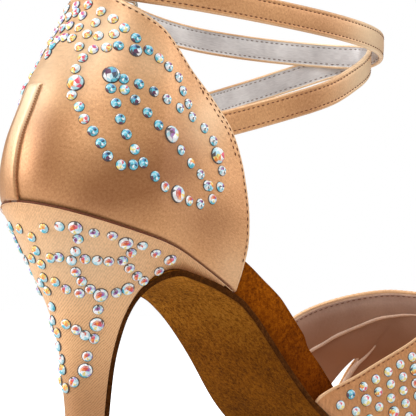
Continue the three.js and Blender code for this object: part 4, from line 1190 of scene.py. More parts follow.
def vamp_piece():
    """The vamp's wall with rolled edges and the steps between its bands."""
    turn = np.arange(VAMP_TURNS + 1) / VAMP_TURNS
    turn = np.clip(mix(turn, smoothstep(turn, 0, 1), -0.25), 0, 1)
    rear = vamp_rear(turn) * PLAN_LENGTH
    front = vamp_front(turn) * PLAN_LENGTH
    radius = WALL / 2
    near = np.array(EDGE_FINE)
    rows = []
    for a, b in zip(rear, front):
        body = b - a - 2 * radius
        middle = np.linspace(near[-1], body - near[-1], VAMP_ROWS)[1:-1]
        rows.append(a + radius + np.concatenate([near, middle, (body - near)[::-1]]))
    x = np.array(rows)
    t = np.broadcast_to(turn[:, None], x.shape)
    from_edge = np.minimum(x - rear[:, None], front[:, None] - x)
    share = mix(EDGE_SHARE, 1, smoothstep(from_edge, 0.8, 5))
    base_out = foot_point(x, t, 0.0)
    base_in = mix(base_out, foot_point(x, t, WALL), share[..., None])
    normal = vamp_normal(x, t)
    rear_line = foot_point(rear, turn, 0.0)
    front_line = foot_point(front, turn, 0.0)
    off, run = nearest_on(rear_line[::3], base_out)
    off_front, _ = nearest_on(front_line[::3], base_out)
    relief = groove(off, STITCH_IN + 0.5) + groove(off_front, STITCH_IN + 0.5)
    relief += 0.05 * np.exp(-((off - 0.8) / 0.5) ** 2) * np.cos(2 * math.pi * run / VAMP_STITCH)
    # The first band lies inside the second, and the third over the second
    first = first_band(t) - x
    outer_half = smoothstep(t, 0.50, 0.58)
    step_in = smoothstep(first, -0.5, 0.1) * outer_half
    third = (x - third_band(t)) * smoothstep(t, 0.60, 0.70)
    step_third = smoothstep(third, -0.1, 0.4) * smoothstep(t, 0.66, 0.78)
    outer = base_out + normal * (relief - 0.25 * step_in + 0.20 * step_third)[..., None]
    inner = base_in - normal * (BAND_STEP * step_in - 0.35 * step_third)[..., None]
    tangent_rear = unit(outer[:, 0] - outer[:, 3])
    tangent_front = unit(outer[:, -1] - outer[:, -4])
    roll_rear = rolled(inner[:, 0], outer[:, 0], tangent_rear)
    roll_front = rolled(outer[:, -1], inner[:, -1], tangent_front)
    rings = np.concatenate([outer, roll_front, inner[:, ::-1], roll_rear], 1)
    columns = outer.shape[1]
    slot = ([0] * (columns - 1) + [1] * (ROLL + 1) + [2] * (columns - 1) + [1] * (ROLL + 1))
    for j in range(4):
        slot[columns + ROLL + j] = 3
        slot[2 * columns + ROLL - 2 - j] = 3
    for j in range(2):
        slot[j] = 1
        slot[columns - 2 - j] = 1
    girth = np.broadcast_to((turn * VAMP_GIRTH)[:, None], x.shape)
    roll_cloth = stack(np.broadcast_to(girth[:, :1], (len(turn), ROLL)), 0.0, 0.0)
    cloth = np.concatenate([stack(girth, x, 0.0), roll_cloth, stack(girth, x, 0.0)[:, ::-1],
                            roll_cloth], 1)
    return loft("vamp_bands", rings, [SATIN_VAMP, SATIN_EDGE_HIGHLIGHT, LINING_IN_SHADE, FOLD], slot, cloth)


def cut_slit(piece):
    """Opens the gap between the second and third bands, down to the sole."""
    turn = np.linspace(SLIT_TIP, SLIT_LOW, 24)
    back = foot_point(second_band(turn), turn, WALL / 2)
    ahead = foot_point(third_band(turn), turn, WALL / 2)
    ahead[0] = back[0] = (ahead[0] + back[0]) / 2
    ring = np.concatenate([back, ahead[:0:-1]])
    ring[:, 2] -= np.where(ring[:, 2] < CUTTER_SINK, CUTTER_SINK, 0.0)
    points = [(p[0], y, p[2]) for y in CUTTER_REACH for p in ring]
    size = len(ring)
    faces = [tuple(range(size)), tuple(size + i for i in reversed(range(size)))]
    for i in range(size):
        k = (i + 1) % size
        faces.append((i, size + i, size + k, k))
    cutter = build("slit_cutter", points, faces, [FOLD])
    modifier = piece.modifiers.new("slit", "BOOLEAN")
    modifier.operation = "DIFFERENCE"
    modifier.object = cutter
    modifier.solver = "EXACT"
    evaluated = piece.evaluated_get(bpy.context.evaluated_depsgraph_get())
    mesh = bpy.data.meshes.new_from_object(evaluated)
    piece.modifiers.clear()
    piece.data = mesh
    bpy.data.objects.remove(cutter)


vamp_bands = vamp_piece()
cut_slit(vamp_bands)


def band_line(track, start, end, inward, shift=0.0, count=70):
    """Line along a band's edge with its normals, shifted forward and into the wall."""
    turn = np.linspace(start, end, count)
    x = track(turn) + shift
    return foot_point(x, turn, inward), vamp_normal(x, turn, inward)


# Folded edges of the bands on the inner and the outer face, which widen away from the instep
BAND_END, FOLD_POINTS = 0.985, 70
FOLD_WIDTHS, OUTER_FOLD_WIDTH = (0.30, 0.74), 0.62
folds = [band_line(first_band, 0.53, BAND_END, WALL + 0.30),
         band_line(third_band, 0.765, BAND_END, WALL - 0.05, 0.35),
         band_line(second_band, SLIT_TIP, BAND_END, WALL / 2, -0.15)]
fold_width = mix(*FOLD_WIDTHS, smoothstep(np.linspace(0, 1, FOLD_POINTS), 0.0, 0.35))
band_folds = tube("vamp_band_folds", folds, fold_width, FOLD, 10, 0.8)
# The outer folds take the lighter satin, a painted highlight on the folds
outer_folds = [band_line(third_band, 0.70, BAND_END, 0.15, 0.25),
               band_line(first_band, 0.56, BAND_END, 0.1)]
outer_band_folds = tube("vamp_outer_folds", outer_folds, OUTER_FOLD_WIDTH, SATIN_EDGE_HIGHLIGHT, 10, 0.8)


def across_step(x, turn, step=0.35):
    """How a point of the vamp moves for one millimetre forward."""
    return (foot_point(x + step, turn) - foot_point(x - step, turn)) / (2 * step)


def vamp_row(edge, inset, inward, start, end, sign, count=220):
    """Line on the vamp that keeps a distance from one of its edges, with normals."""
    turn = np.linspace(start, end, count)
    x = edge(turn) * PLAN_LENGTH
    line = foot_point(x, turn, 0.0)
    along = unit(np.gradient(line, axis=0))
    normal = vamp_normal(x, turn)
    inward_way = unit(np.cross(normal, along))
    forward = inward_way * np.sign(inward_way[:, :1]) * sign
    # How x and turn change for one millimetre inward, by the two slopes of the surface
    d_x = across_step(x, turn)
    later, sooner = np.clip(turn + .003, 0, 1), np.clip(turn - .003, 0, 1)
    d_t = (foot_point(x, later) - foot_point(x, sooner)) / (later - sooner)[:, None]
    xx = (d_x * d_x).sum(-1)
    xt = (d_x * d_t).sum(-1)
    tt = (d_t * d_t).sum(-1)
    fx = (d_x * forward).sum(-1)
    ft = (d_t * forward).sum(-1)
    det = xx * tt - xt * xt
    move_x = (fx * tt - ft * xt) / det
    move_t = (ft * xx - fx * xt) / det
    x2 = x + move_x * inset
    t2 = np.clip(turn + move_t * inset, 0.0, 1.0)
    return foot_point(x2, t2, inward), vamp_normal(x2, t2, inward)


vamp_rows = []
for edge, sign in ((vamp_rear, 1), (vamp_front, -1)):
    line, normals = vamp_row(edge, STITCH_IN + 0.5, 0.0, 0.02, 0.98, sign)
    vamp_rows.append((line - normals * 0.10, normals, VAMP_STITCH))
    line, normals = vamp_row(edge, STITCH_IN + 0.9, WALL * 0.62, 0.02, 0.98, sign)
    sunk = BAND_STEP * smoothstep(np.linspace(0.02, 0.98, len(line)), 0.50, 0.58)
    sunk = sunk if edge is vamp_rear else 0 * sunk
    vamp_rows.append((line - normals * (0.05 + sunk)[:, None], -normals, VAMP_STITCH))
for track, shift, start in ((third_band, 2.0, 0.72), (first_band, -1.9, 0.60)):
    line, normals = band_line(track, start, 0.98, 0.0, shift, 160)
    vamp_rows.append((line + normals * 0.02, normals, VAMP_STITCH))
vamp_stitches = stitch_rows("vamp_stitches", vamp_rows, THREAD, 1.15, 0.27)

# Ankle straps
STRAP_STITCH = 1.8             # pitch
STRAP_ROW = 2.62               # from the strap's middle
STITCHED = (0.01, 0.99)        # share of the strap's run that is stitched
# Cross-section of a strap: place over its width and distance from its middle, for the satin
# outside, the rounded rim and the lining
STRAP_OUT = ((-3.50, .71), (-3.2, .80), (-2.95, .74), (-2.62, .64), (-2.30, .74), (-1.9, .82),
             (-1.2, .86), (-.4, .88), (.4, .88), (1.2, .86), (1.9, .82), (2.30, .74),
             (2.62, .64), (2.95, .74), (3.2, .80), (3.50, .71))
STRAP_RIM = ((3.78, .50), (3.94, .22), (3.97, -.12), (3.86, -.46), (3.62, -.70))
STRAP_IN = ((3.42, -.74), (3.30, -.62), (2.95, -.64), (2.62, -.55), (2.30, -.64), (1.2, -.67),
            (0, -.68), (-1.2, -.67), (-2.30, -.64), (-2.62, -.55), (-2.95, -.64), (-3.30, -.62),
            (-3.42, -.74))


def strap_piece(name, rows, layer):
    """A strap and the rows of stitches on its outside and on its lining."""
    centre, normal = strap_line(rows, layer, 900)
    run = polyline_length(centre)
    count = int(run[-1] / 0.45)
    places = np.linspace(0, run[-1], count)
    centre = at_places(centre, run, places)
    normal = unit(at_places(normal, run, places))
    profile = list(STRAP_OUT) + list(STRAP_RIM) + list(STRAP_IN)
    profile += [(-u, o) for u, o in reversed(STRAP_RIM)]
    u = np.array([p[0] for p in profile])
    o = np.array([p[1] for p in profile])
    pucker = 0.045 * np.cos(2 * math.pi * places / STRAP_STITCH)[:, None] * np.exp(
        -((np.abs(u) - 3.2) / 0.35) ** 2) * np.sign(o)
    sag = 0.10 * np.sin(places / 17.0)[:, None] * (1 - (u / 4) ** 2) * 0.5
    along = unit(np.gradient(centre, axis=0))
    up = unit(np.cross(normal, along))
    up = up * np.sign(up[:, 2:3])
    rings = (centre[:, None] + up[:, None] * u[None, :, None]
             + normal[:, None] * (o[None] + pucker + sag)[..., None])
    outs, rims, ins = len(STRAP_OUT), len(STRAP_RIM), len(STRAP_IN)
    slot = ([0] * (outs - 1) + [1] * (rims + 2) + [2] * (ins - 3) + [1] * (rims + 2))
    slot = (slot + [1] * len(profile))[:len(profile)]
    cloth = stack(places[:, None] + 0 * u, u + 0 * places[:, None], 0.0)
    # The strap's rim takes the lighter satin, a painted highlight
    piece = loft(name, rings, [SATIN, SATIN_EDGE_HIGHLIGHT, SILVER], slot, cloth)
    start, end = STITCHED
    keep = slice(int(start * count), int(end * count))
    outside, inside = [], []
    for sign in (-1, 1):
        line = centre + up * sign * STRAP_ROW
        outside.append(((line + normal * 0.66)[keep], normal[keep], STRAP_STITCH))
        inside.append(((line - normal * 0.56)[keep], -normal[keep], STRAP_STITCH))
    return piece, outside, inside


strap_inner, rows_out, rows_in = strap_piece("ankle_strap_inner", STRAP_INNER, -STRAP_LAYER)
strap_outer, more_out, more_in = strap_piece("ankle_strap_outer", STRAP_OUTER, STRAP_LAYER)
strap_stitches = stitch_rows("strap_stitches_satin", rows_out + more_out, THREAD, 1.05, 0.34)
lining_stitches = stitch_rows("strap_stitches_lining", rows_in + more_in, THREAD_SILVER, 1.05,
                              0.32)


# Buckle
BUCKLE_CORNER = 2.4            # outer radius of the frame's corners


def buckle_place():
    out = STRAP_LAYER + STRAP_THICKNESS / 2 + BUCKLE_STAND
    z = mix(STRAP_CROSS, STRAP_BACK, BUCKLE_BACK)
    centre, normal = on_oval(np.array(BUCKLE_TURN), np.array(out), z)
    along = np.array([-normal[1], normal[0], 0.0])
    return centre, along, np.array([0, 0, 1.0]), normal


def bar(name, path, radius, closed, material, frame_axes, sides=12):
    """Round wire along a path of (along, up, out) in the buckle's own axes."""
    centre, along, up, out = frame_axes
    path = np.array(path, float)
    line = centre + path[:, :1] * along + path[:, 1:2] * up + path[:, 2:] * out
    if closed:
        ahead = unit(np.roll(line, -1, 0) - np.roll(line, 1, 0))
    else:
        ahead = unit(np.gradient(line, axis=0))
    side = unit(np.cross(out, ahead))
    angles = np.arange(sides) * 2 * math.pi / sides
    rings = np.array([[p + radius * (math.cos(a) * s + math.sin(a) * 0.8 * out) for a in angles]
                      for p, s in zip(line, side)])
    if closed:
        rings = np.concatenate([rings, rings[:1]])
    return loft(name, rings, [material], [0] * sides, None, caps=not closed)


axes = buckle_place()
corner = BUCKLE_CORNER - BUCKLE_WIRE / 2
half_l, half_h = BUCKLE_LENGTH / 2 - BUCKLE_WIRE / 2, BUCKLE_HEIGHT / 2 - BUCKLE_WIRE / 2
frame_path = []
for cx, cy, start in ((1, 1, 0), (-1, 1, 90), (-1, -1, 180), (1, -1, 270)):
    for step in range(7):
        angle = math.radians(start + step * 15)
        frame_path.append((cx * (half_l - corner) + corner * math.cos(angle),
                           cy * (half_h - corner) + corner * math.sin(angle), BUCKLE_WIRE / 2))
buckle_frame = bar("buckle_wire", frame_path, BUCKLE_WIRE / 2, True, METAL, axes)
inner_l = BUCKLE_LENGTH / 2 - BUCKLE_WIRE - GAP
prong_path = [(mix(-inner_l, inner_l, s), 0, BUCKLE_WIRE * 0.35 + 0.25 * math.sin(math.pi * s))
              for s in np.linspace(0, 1, 14)]
buckle_pin = bar("buckle_pin", prong_path, BUCKLE_WIRE * 0.33, False, METAL, axes)

# Crystals
OUTER_SHIFT = 0.05             # the outer side's strands lie this much farther round
# Diameters in millimetres
STONE = {"s": 3.05, "m": 3.8, "h": 4.15, "l": 4.95}
# Strands on the heel cup's inner side, over g and rise; the outer side has the mirror image
CUP_STRANDS = (
    ("s", (.17, 58.6), (.35, 57.4), (.49, 56.5), (.61, 55.2), (.72, 53.8)),
    ("m", (.73, 50.2)),
    ("s", (.83, 51.9), (.92, 51.0), (1.00, 49.9), (1.09, 48.5), (1.13, 45.3), (1.18, 42.6),
     (1.11, 39.8), (1.22, 39.7), (1.33, 39.3), (1.41, 37.8)),
    ("l warm", (1.45, 34.6)),
    ("s", (1.49, 31.2), (1.48, 26.1), (1.39, 23.8), (1.42, 20.8)),
    ("s", (.15, 55.2), (.33, 53.8), (.17, 51.5), (.29, 50.0), (.40, 50.3), (.53, 52.3),
     (.15, 48.1), (.27, 45.9), (.40, 46.1), (.50, 47.8), (.59, 49.5), (.34, 43.0), (.32, 39.5)),
    ("l warm", (.36, 35.6)),
    ("s", (.36, 31.9), (.43, 29.2), (.48, 26.2), (.55, 23.6), (.61, 21.0), (.66, 18.0),
     (.74, 16.7), (.81, 17.9), (.87, 19.5), (.95, 16.9), (1.02, 15.1)),
    ("l hot", (1.12, 14.9)),
    ("s", (1.22, 15.1), (1.32, 16.7)),
    ("l deep", (.59, 40.7)),
    ("s", (.68, 40.8), (.61, 36.9), (.70, 37.9), (.79, 41.1), (.90, 40.7), (1.00, 40.2),
     (.66, 33.3), (.78, 36.2), (.70, 29.3), (.87, 34.0), (.75, 25.7), (.95, 31.7)),
    ("l violet", (1.05, 30.8)),
    ("s", (.81, 22.3), (1.13, 27.8), (1.22, 26.0), (1.31, 25.1), (1.37, 23.4)),
)
# Stones at the back of the cup, with g above 0 on the outer side
CUP_BACK = (
    ("s", (.02, 58.5), (-.03, 56.2), (.07, 55.3), (-.03, 52.1), (.08, 51.7), (-.05, 48.4),
     (.04, 47.8), (.07, 46.2), (.07, 43.4)),
)
# Strands on the heel, over u and the share of the way down
HEEL_STRANDS = (
    ("s", (.37, .07)),
    ("h", (.48, .06)),
    ("s", (.60, .06), (.71, .05)),
    ("h", (.80, .06)),
    ("s", (.90, .05), (1.00, .06)),
    ("m", (1.20, .06)),
    ("s", (.50, .10), (.48, .15), (.85, .09), (.44, .19), (.55, .17), (.64, .16), (.72, .15),
     (.81, .13), (.87, .15), (.94, .17), (1.00, .18), (1.14, .12), (.47, .23), (.52, .26),
     (.60, .28), (.49, .31)),
    ("h", (.70, .29)),
    ("s", (.83, .26)),
    ("m", (.91, .23)),
    ("s", (.69, .35), (.41, .46), (.55, .47), (.69, .47), (.60, .55)),
    ("h", (.70, .41)),
    ("h", (.57, .61)),
)
# Stones at the back of the heel, with u above 0 on the outer side
HEEL_BACK = (
    ("s", (.24, .08), (.05, .10), (-.09, .13), (-.24, .09), (-.09, .18), (.32, .16), (.33, .12),
     (.03, .21), (.22, .21), (-.10, .23), (-.24, .20), (-.33, .19), (-.06, .28), (.06, .30),
     (-.22, .29), (-.34, .31), (-.02, .33), (.33, .32), (.01, .39), (.12, .44), (.32, .44),
     (-.23, .45), (.05, .49), (.13, .54), (.04, .59), (.03, .63), (-.31, .67), (.29, .67),
     (-.02, .70)),
)
VAMP_ROW_PITCH, VAMP_SPACING, VAMP_FIRST_ROW = 4.05, 4.9, 5.15
VAMP_PHASE = (4.2, 0.85, 1.1)   # place of the first stone in the first rows
VAMP_PHASE_STEP = 0.68         # and how it goes on in the others

# Painted highlight, reflection and shade colours for the facets
FACET_LIGHT_COLOURS = {"white": (0.95, 0.96, 0.97), "ice": (0.50, 0.82, 0.92), "cyan": (0.09, 0.56, 0.72),
       "teal": (0.03, 0.28, 0.36), "blue": (0.05, 0.20, 0.50), "night": (0.006, 0.02, 0.06),
       "wine": (0.12, 0.01, 0.07), "plum": (0.34, 0.06, 0.36), "rose": (0.82, 0.07, 0.14),
       "amber": (0.94, 0.27, 0.02), "ember": (0.72, 0.07, 0.02), "lemon": (0.98, 0.80, 0.22),
       "smoke": (0.10, 0.08, 0.08), "lilac": (0.46, 0.36, 0.78)}
# For each kind of stone, the painted highlight, reflection and shade on sixteen facets round it
# and eight round its table, from the right over the top to the left
KINDS = {
    "cool": ("cyan cyan ice white white ice cyan cyan ice smoke wine smoke cyan cyan cyan ice",
             "night blue cyan ice cyan teal white cyan"),
    "deep": ("cyan teal ice cyan white ice teal cyan smoke wine night smoke white white ice teal",
             "night night blue cyan wine wine white ice"),
    "hot": ("lilac white white ice white smoke white white white white white ice cyan cyan "
            "cyan ice", "ice plum ember ember amber white lemon white"),
    "fire": ("ice white lilac white smoke white white ice white white ice cyan cyan ice ice "
             "white", "ice rose ember amber ember white lemon white"),
    "violet": ("lilac white ice white smoke white ice white white ice white white ice cyan "
               "cyan ice", "ice plum wine plum white white lemon white"),
    "clear": ("ice white white ice smoke white white ice ice white ice cyan cyan cyan ice ice",
              "white ember white white white ice ice white"),
    "sun": ("ice white lemon amber lemon white white ice white ice cyan cyan cyan cyan ice ice",
            "amber amber lemon amber white cyan cyan ice"),
    "warm": ("ice cyan ice white white white ice ice smoke lemon amber white ice ice rose ice",
             "rose white white ice lemon amber white rose"),
    "soft": ("ice white ice lilac white white ice ice ice lemon lemon white white ice cyan ice",
             "white rose white ice white lemon lemon white"),
    "veil": ("white white ice white white ice white smoke ice white white ice cyan cyan ice ice",
             "white wine plum ice white smoke white cyan"),
    "gold": ("ice white white ice white ice white white ice lemon white amber lemon white lemon "
             "ice", "white white ice white white amber lemon ember"),
    "rosy": ("lilac white white ice white ice white white ice white white lemon lemon white "
             "white ice", "rose plum rose white white lemon white white"),
    "pale": ("cyan ice cyan rose white white ice cyan cyan lemon lemon white ice ice cyan cyan",
             "ice rose white ice white lemon white cyan"),
}
# Share of each kind of painted facet light, by where the stone sits
MOODS = {"back": (("gold", .45), ("warm", .20), ("rosy", .25), ("pale", .10)),
         "middle": (("cool", .55), ("deep", .25), ("pale", .2)),
         "side": (("veil", .72), ("warm", .13), ("cool", .15)),
         "lower": (("sun", .30), ("hot", .30), ("veil", .40)),
         "heel": (("hot", .36), ("fire", .30), ("violet", .16), ("clear", .18)),
         "nape": (("sun", .6), ("hot", .2), ("clear", .2)),
         "vamp": (("soft", .55), ("cool", .15), ("hot", .10), ("warm", .20))}
# Dark ring round each stone: its setting, and the painted shadow round it
SETTING_AND_SHADOW = (0.050, 0.028, 0.022)
# Least distances of the vamp's stones from each other, the front edge, the sole, the slit's two
# edges and the edges of the bands
STONES_APART, FRONT_CLEAR, SOLE_CLEAR, SLIT_CLEAR, BAND_CLEAR = 3.7, 3.6, 1.9, (3.4, 3.6), 2.6
VAMP_STONE_ROWS, VAMP_STONE_SHARE = 30, 0.97


def stone_faces():
    """Points of a cut stone over its radius, and its faces with a ring name."""
    points, faces = [], []
    for radius, height, count, offset in ((1.13, -0.10, 16, 0), (0.98, 0.16, 16, 0),
                                          (0.78, 0.46, 8, 0.5), (0.56, 0.60, 8, 0)):
        for k in range(count):
            angle = 2 * math.pi * (k + offset) / count
            points.append((radius * math.cos(angle), radius * math.sin(angle), height))
    points.append((0, 0, 0.62))
    for k in range(16):
        m = (k + 1) % 16
        faces.append(((k, m, 16 + m, 16 + k), "rim", k))
    for k in range(8):
        m = (k + 1) % 8
        a, b, c = 16 + 2 * k, 16 + 2 * k + 1, 16 + (2 * k + 2) % 16
        faces.append(((a, b, 32 + k), "ring", 2 * k))
        faces.append(((b, c, 32 + k), "ring", 2 * k + 1))
        faces.append(((c, 32 + m, 32 + k), "ring", (2 * k + 2) % 16))
        faces.append(((32 + k, 32 + m, 40 + m), "crown", 2 * k + 1))
        faces.append(((32 + k, 40 + m, 40 + k), "crown", 2 * k))
        faces.append(((40 + k, 40 + m, 48), "table", k))
    return np.array(points), faces


STONE_POINTS, STONE_FACES = stone_faces()


def pick_kind(draw, mood):
    chance = draw.random()
    for kind, share in MOODS.get(mood, ((mood, 1),)):
        chance -= share
        if chance <= 0:
            break
    ring, plate = (names.split() for names in KINDS[kind])
    return ring, plate


def paint_facet_light(draw, part, k, ring, plate):
    if part == "rim":
        return np.array(SETTING_AND_SHADOW) * draw.uniform(0.7, 1.3)
    if part == "table":
        colour = np.array(FACET_LIGHT_COLOURS[plate[k % 8]])
    else:
        colour = np.array(FACET_LIGHT_COLOURS[ring[k % 16]])
    if part == "crown":
        colour = mix(colour, np.array(FACET_LIGHT_COLOURS[plate[(k // 2) % 8]]), 0.75)
    return np.clip(colour * draw.uniform(0.80, 1.05), 0, 1)


def stones(name, places, seed):
    """One piece with a stone at each (centre, normal, up, diameter, mood)."""
    draw = random.Random(seed)
    points, faces, colours = [], [], []
    for centre, normal, up, diameter, mood in places:
        side = unit(np.cross(up, normal))
        rise = np.cross(normal, side)
        turn = draw.uniform(-0.35, 0.35)
        axis_a = side * math.cos(turn) + rise * math.sin(turn)
        axis_b = rise * math.cos(turn) - side * math.sin(turn)
        top = unit(normal + axis_a * draw.gauss(0, 0.03) + axis_b * draw.gauss(0, 0.03))
        local = STONE_POINTS * diameter / 2
        first = len(points)
        points.extend(centre + local[:, :1] * axis_a + local[:, 1:2] * axis_b
                      + local[:, 2:] * top)
        ring, plate = pick_kind(draw, mood)
        shift = draw.choice((-1, 0, 0, 1))
        for corners, part, k in STONE_FACES:
            faces.append(tuple(first + c for c in corners))
            step = k + shift if part == "table" else k + 2 * shift
            colours.append((*paint_facet_light(draw, part, step, ring, plate), 1.0))
    piece = build(name, points, faces, [CRYSTAL], smooth=False, outward=False)
    layer = piece.data.attributes.new("facet", "FLOAT_COLOR", "CORNER")
    spread = []
    for polygon, colour in zip(piece.data.polygons, colours):
        spread.extend(list(colour) * polygon.loop_total)
    layer.data.foreach_set("color", np.array(spread, np.float32))
    return piece


def both_sides(strands, back, outer_shift=0.0):
    """Each stone's size, place, height, side and kind: the strands on both sides."""
    for label, *spots in strands:
        size, *kind = label.split()
        for place, height in spots:
            yield size, place, height, -1, kind
            yield size, place + outer_shift, height, 1, kind
    for size, *spots in back:
        for place, height in spots:
            yield size, abs(place), height, -1 if place < 0 else 1, []


def cup_stones():
    places = []
    for size, g, rise, side, kind in both_sides(CUP_STRANDS, CUP_BACK, OUTER_SHIFT):
        centre = cup(np.array(g), side, rise)
        normal = cup_normal(np.array(g), side, rise)
        up = cup(np.array(g), side, rise + 1) - centre
        mood = "back" if g < 0.38 + 0.004 * rise else "middle"
        mood = ("side" if rise > 27 else "lower") if g > 0.98 else mood
        places.append((centre, normal, unit(up), STONE[size], kind[0] if kind else mood))
    return places


def heel_normal(u, side, down):
    du = heel_point(np.maximum(u + 0.03, 0), side, down) - heel_point(
        np.maximum(u - 0.03, 0), side, down)
    if u < 0.03:
        du = np.array([0, side * 1.0, 0])
    dd = heel_point(u, side, down + 0.01) - heel_point(u, side, down - 0.01)
    normal = unit(np.cross(du, dd))
    guess = heel_point(u, side, down) - np.array([30.0, 0, heel_point(u, side, down)[2]])
    return normal if normal @ guess > 0 else -normal


def heel_stones():
    places = []
    for size, u, down, side, _ in both_sides(HEEL_STRANDS, HEEL_BACK):
        centre = heel_point(np.array(u), side, down)
        normal = heel_normal(u, side, down)
        up = heel_point(np.array(u), side, down - 0.01) - centre
        places.append((centre, normal, unit(up), STONE[size], "nape" if u < 0.30 else "heel"))
    return places


def vamp_stones():
    """Staggered rows that keep to the vamp's rear edge, over all of its outer face."""
    places = []
    kept = []
    for row in range(VAMP_STONE_ROWS):
        inset = VAMP_FIRST_ROW + row * VAMP_ROW_PITCH
        x, turn = vamp_grid_row(inset)
        line = foot_point(x, turn)
        run = polyline_length(line)
        late = max(row - len(VAMP_PHASE) + 1, 0)
        first = VAMP_PHASE[min(row, len(VAMP_PHASE) - 1)] + late * VAMP_PHASE_STEP
        spots = np.arange(first % VAMP_SPACING, run[-1] - 1.0, VAMP_SPACING)
        xs, ts = np.interp(spots, run, x), np.interp(spots, run, turn)
        for k, (a, t) in enumerate(zip(xs, ts)):
            if not vamp_clear(a, t):
                continue
            centre = foot_point(np.array(a), np.array(t))
            if kept and min(np.linalg.norm(np.array(kept) - centre, axis=1)) < STONES_APART:
                continue
            kept.append(centre)
            normal = vamp_normal(np.array(a), np.array(t))
            up = foot_point(np.array(a), np.array(t) + (0.01 if t < 0.5 else -0.01)) - centre
            size = "m" if row % 2 and k % 4 == 2 else "s"
            places.append((centre, normal, unit(up), STONE[size] * VAMP_STONE_SHARE, "vamp"))
    return places


def vamp_grid_row(inset):
    """Line over x and turn that lies a distance ahead of the rear edge."""
    turn = np.linspace(0.001, 0.999, 260)
    x = vamp_rear(turn) * PLAN_LENGTH
    steps = max(int(inset / 1.0), 1)
    for _ in range(steps):
        line = foot_point(x, turn)
        along = unit(np.gradient(line, axis=0))
        d_x = across_step(x, turn)
        along_x = (d_x * along).sum(-1)
        clear = np.sqrt(np.maximum((d_x * d_x).sum(-1) - along_x ** 2, 0.04))
        x = x + inset / steps / clear
        x = np.convolve(np.pad(x, 3, mode="edge"), np.ones(7) / 7, mode="valid")
    return x, turn


def vamp_clear(x, turn):
    """Whether a stone fits at a place on the vamp, off its edges, the slit and the folds."""
    if x > float(vamp_front(turn)) * PLAN_LENGTH - FRONT_CLEAR:
        return False
    height = foot_point(np.array(x), np.array(turn))[2]
    if height < float(feather(along_at(x))[1]) + SOLE_CLEAR:
        return False
    behind, ahead = SLIT_CLEAR
    first, second, third = (float(track(turn)) for track in (first_band, second_band, third_band))
    if turn > SLIT_TIP - 0.03 and second - behind < x < third + ahead:
        return False
    if turn > 0.70 and abs(x - third - 1.0) < BAND_CLEAR:
        return False
    return not (turn > 0.60 and abs(x - first + 1.0) < BAND_CLEAR)


cup_crystals = stones("heel_cup_crystals", cup_stones(), 3)
heel_crystals = stones("heel_crystals", heel_stones(), 5)
vamp_crystals = stones("vamp_crystals", vamp_stones(), 7)

# Painted shade and painted highlight on the satin
# Soft zones of painted shade and painted highlight on the satin. Each row holds the
# place round the heel (x plus the distance from the middle) and the height, the reach both
# ways, and the strength.
CUP_PAINTED_SHADE = ((13.6, 89.7, 9, 14, .80), (9, 101, 5, 8, .35), (33, 78, 15, 9, .75), (51, 82, 16, 9, .95),
             (64, 92, 10, 9, .85), (78, 72, 10, 7, .70), (0, 74, 9, 8, .40))
CUP_PAINTED_HIGHLIGHT = ((25, 116, 12, 10, .34), (30, 127, 14, 9, .38), (51, 117, 9, 8, .22),
             (87, 58, 8, 7, .22), (4, 113, 10, 13, .55), (74, 103, 8, 9, .34))
STRIP_PAINTED_SHADE = ((0, 78, 40, 9, .40),)
STRIP_PAINTED_HIGHLIGHT = ((0, 110, 40, 18, .80),)
HEEL_PAINTED_SHADE = ((20, 16, 90, 15, .85),)
HEEL_PAINTED_HIGHLIGHT = ((22, 60, 32, 13, .30),)
STRAP_PAINTED_SHADE = ((92, 100, 11, 200, .40),)
STRAP_PAINTED_HIGHLIGHT = ((120, 100, 14, 200, .60),)


def paint_light_zones(piece, name, zones, wrap=1.0):
    spots = np.zeros(len(piece.data.vertices) * 3, np.float32)
    piece.data.vertices.foreach_get("co", spots)
    spots = (spots.reshape(-1, 3) - SHIFT) / MM
    around = spots[:, 0] + wrap * np.abs(spots[:, 1])
    total = np.zeros(len(spots))
    for place, height, reach, rise, strength in zones:
        total += strength * np.exp(-((around - place) / reach) ** 2
                                   - ((spots[:, 2] - height) / rise) ** 2)
    add_values(piece, name, np.clip(total, 0, 1))


for piece, painted_shade, painted_highlight, wrap in (
        (heel_cup, CUP_PAINTED_SHADE, CUP_PAINTED_HIGHLIGHT, 1), (back_strip, STRIP_PAINTED_SHADE, STRIP_PAINTED_HIGHLIGHT, 1),
        (heel_wrap, HEEL_PAINTED_SHADE, HEEL_PAINTED_HIGHLIGHT, 1), (strap_inner, STRAP_PAINTED_SHADE, STRAP_PAINTED_HIGHLIGHT, 0),
        (strap_outer, STRAP_PAINTED_SHADE, STRAP_PAINTED_HIGHLIGHT, 0)):
    paint_light_zones(piece, "painted_shade", painted_shade, wrap)
    paint_light_zones(piece, "painted_highlight", painted_highlight, wrap)

# What stands for what
for piece, slot_name, nodes in (
        (heel_cup, "satin", ["counter"]), (cup_stitches, "satin", []),
        (back_strip, "satin", ["back_strip"]), (strip_stitches, "satin", []),
        (seam_shadow_tube, "satin", []), (seam_highlight_tube, "satin", []),
        (heel_wrap, "heel_satin", ["heel"]), (suede_outsole, "suede", ["outsole"]),
        (insole_sock, "sock", ["insole"]), (heel_tip, "tip", ["heel_tip"]),
        (vamp_bands, "satin", ["vamp"]), (band_folds, "satin", []),
        (outer_band_folds, "satin", []), (vamp_stitches, "satin", []),
        (strap_inner, "satin", ["ankle_straps"]), (strap_outer, "satin", []),
        (strap_stitches, "satin", []), (lining_stitches, "satin", []),
        (buckle_frame, "metal", ["buckle"]), (buckle_pin, "metal", ["buckle_prong"]),
        (cup_crystals, "satin", []), (heel_crystals, "heel_satin", []),
        (vamp_crystals, "satin", [])):
    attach(piece, "root")
    if nodes:
        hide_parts(*nodes)

# Camera, floor and light
VIEW_AROUND, VIEW_DOWN, VIEW_ROLL = math.radians(38.06), math.radians(-3.07), math.radians(2.64)
VIEW_TARGET = (70.2, 0.0, 78.23)
VIEW_DISTANCE, VIEW_FOCAL, FRAME_PIXELS, SENSOR = 578.04, 1882.3, 416, 36.0


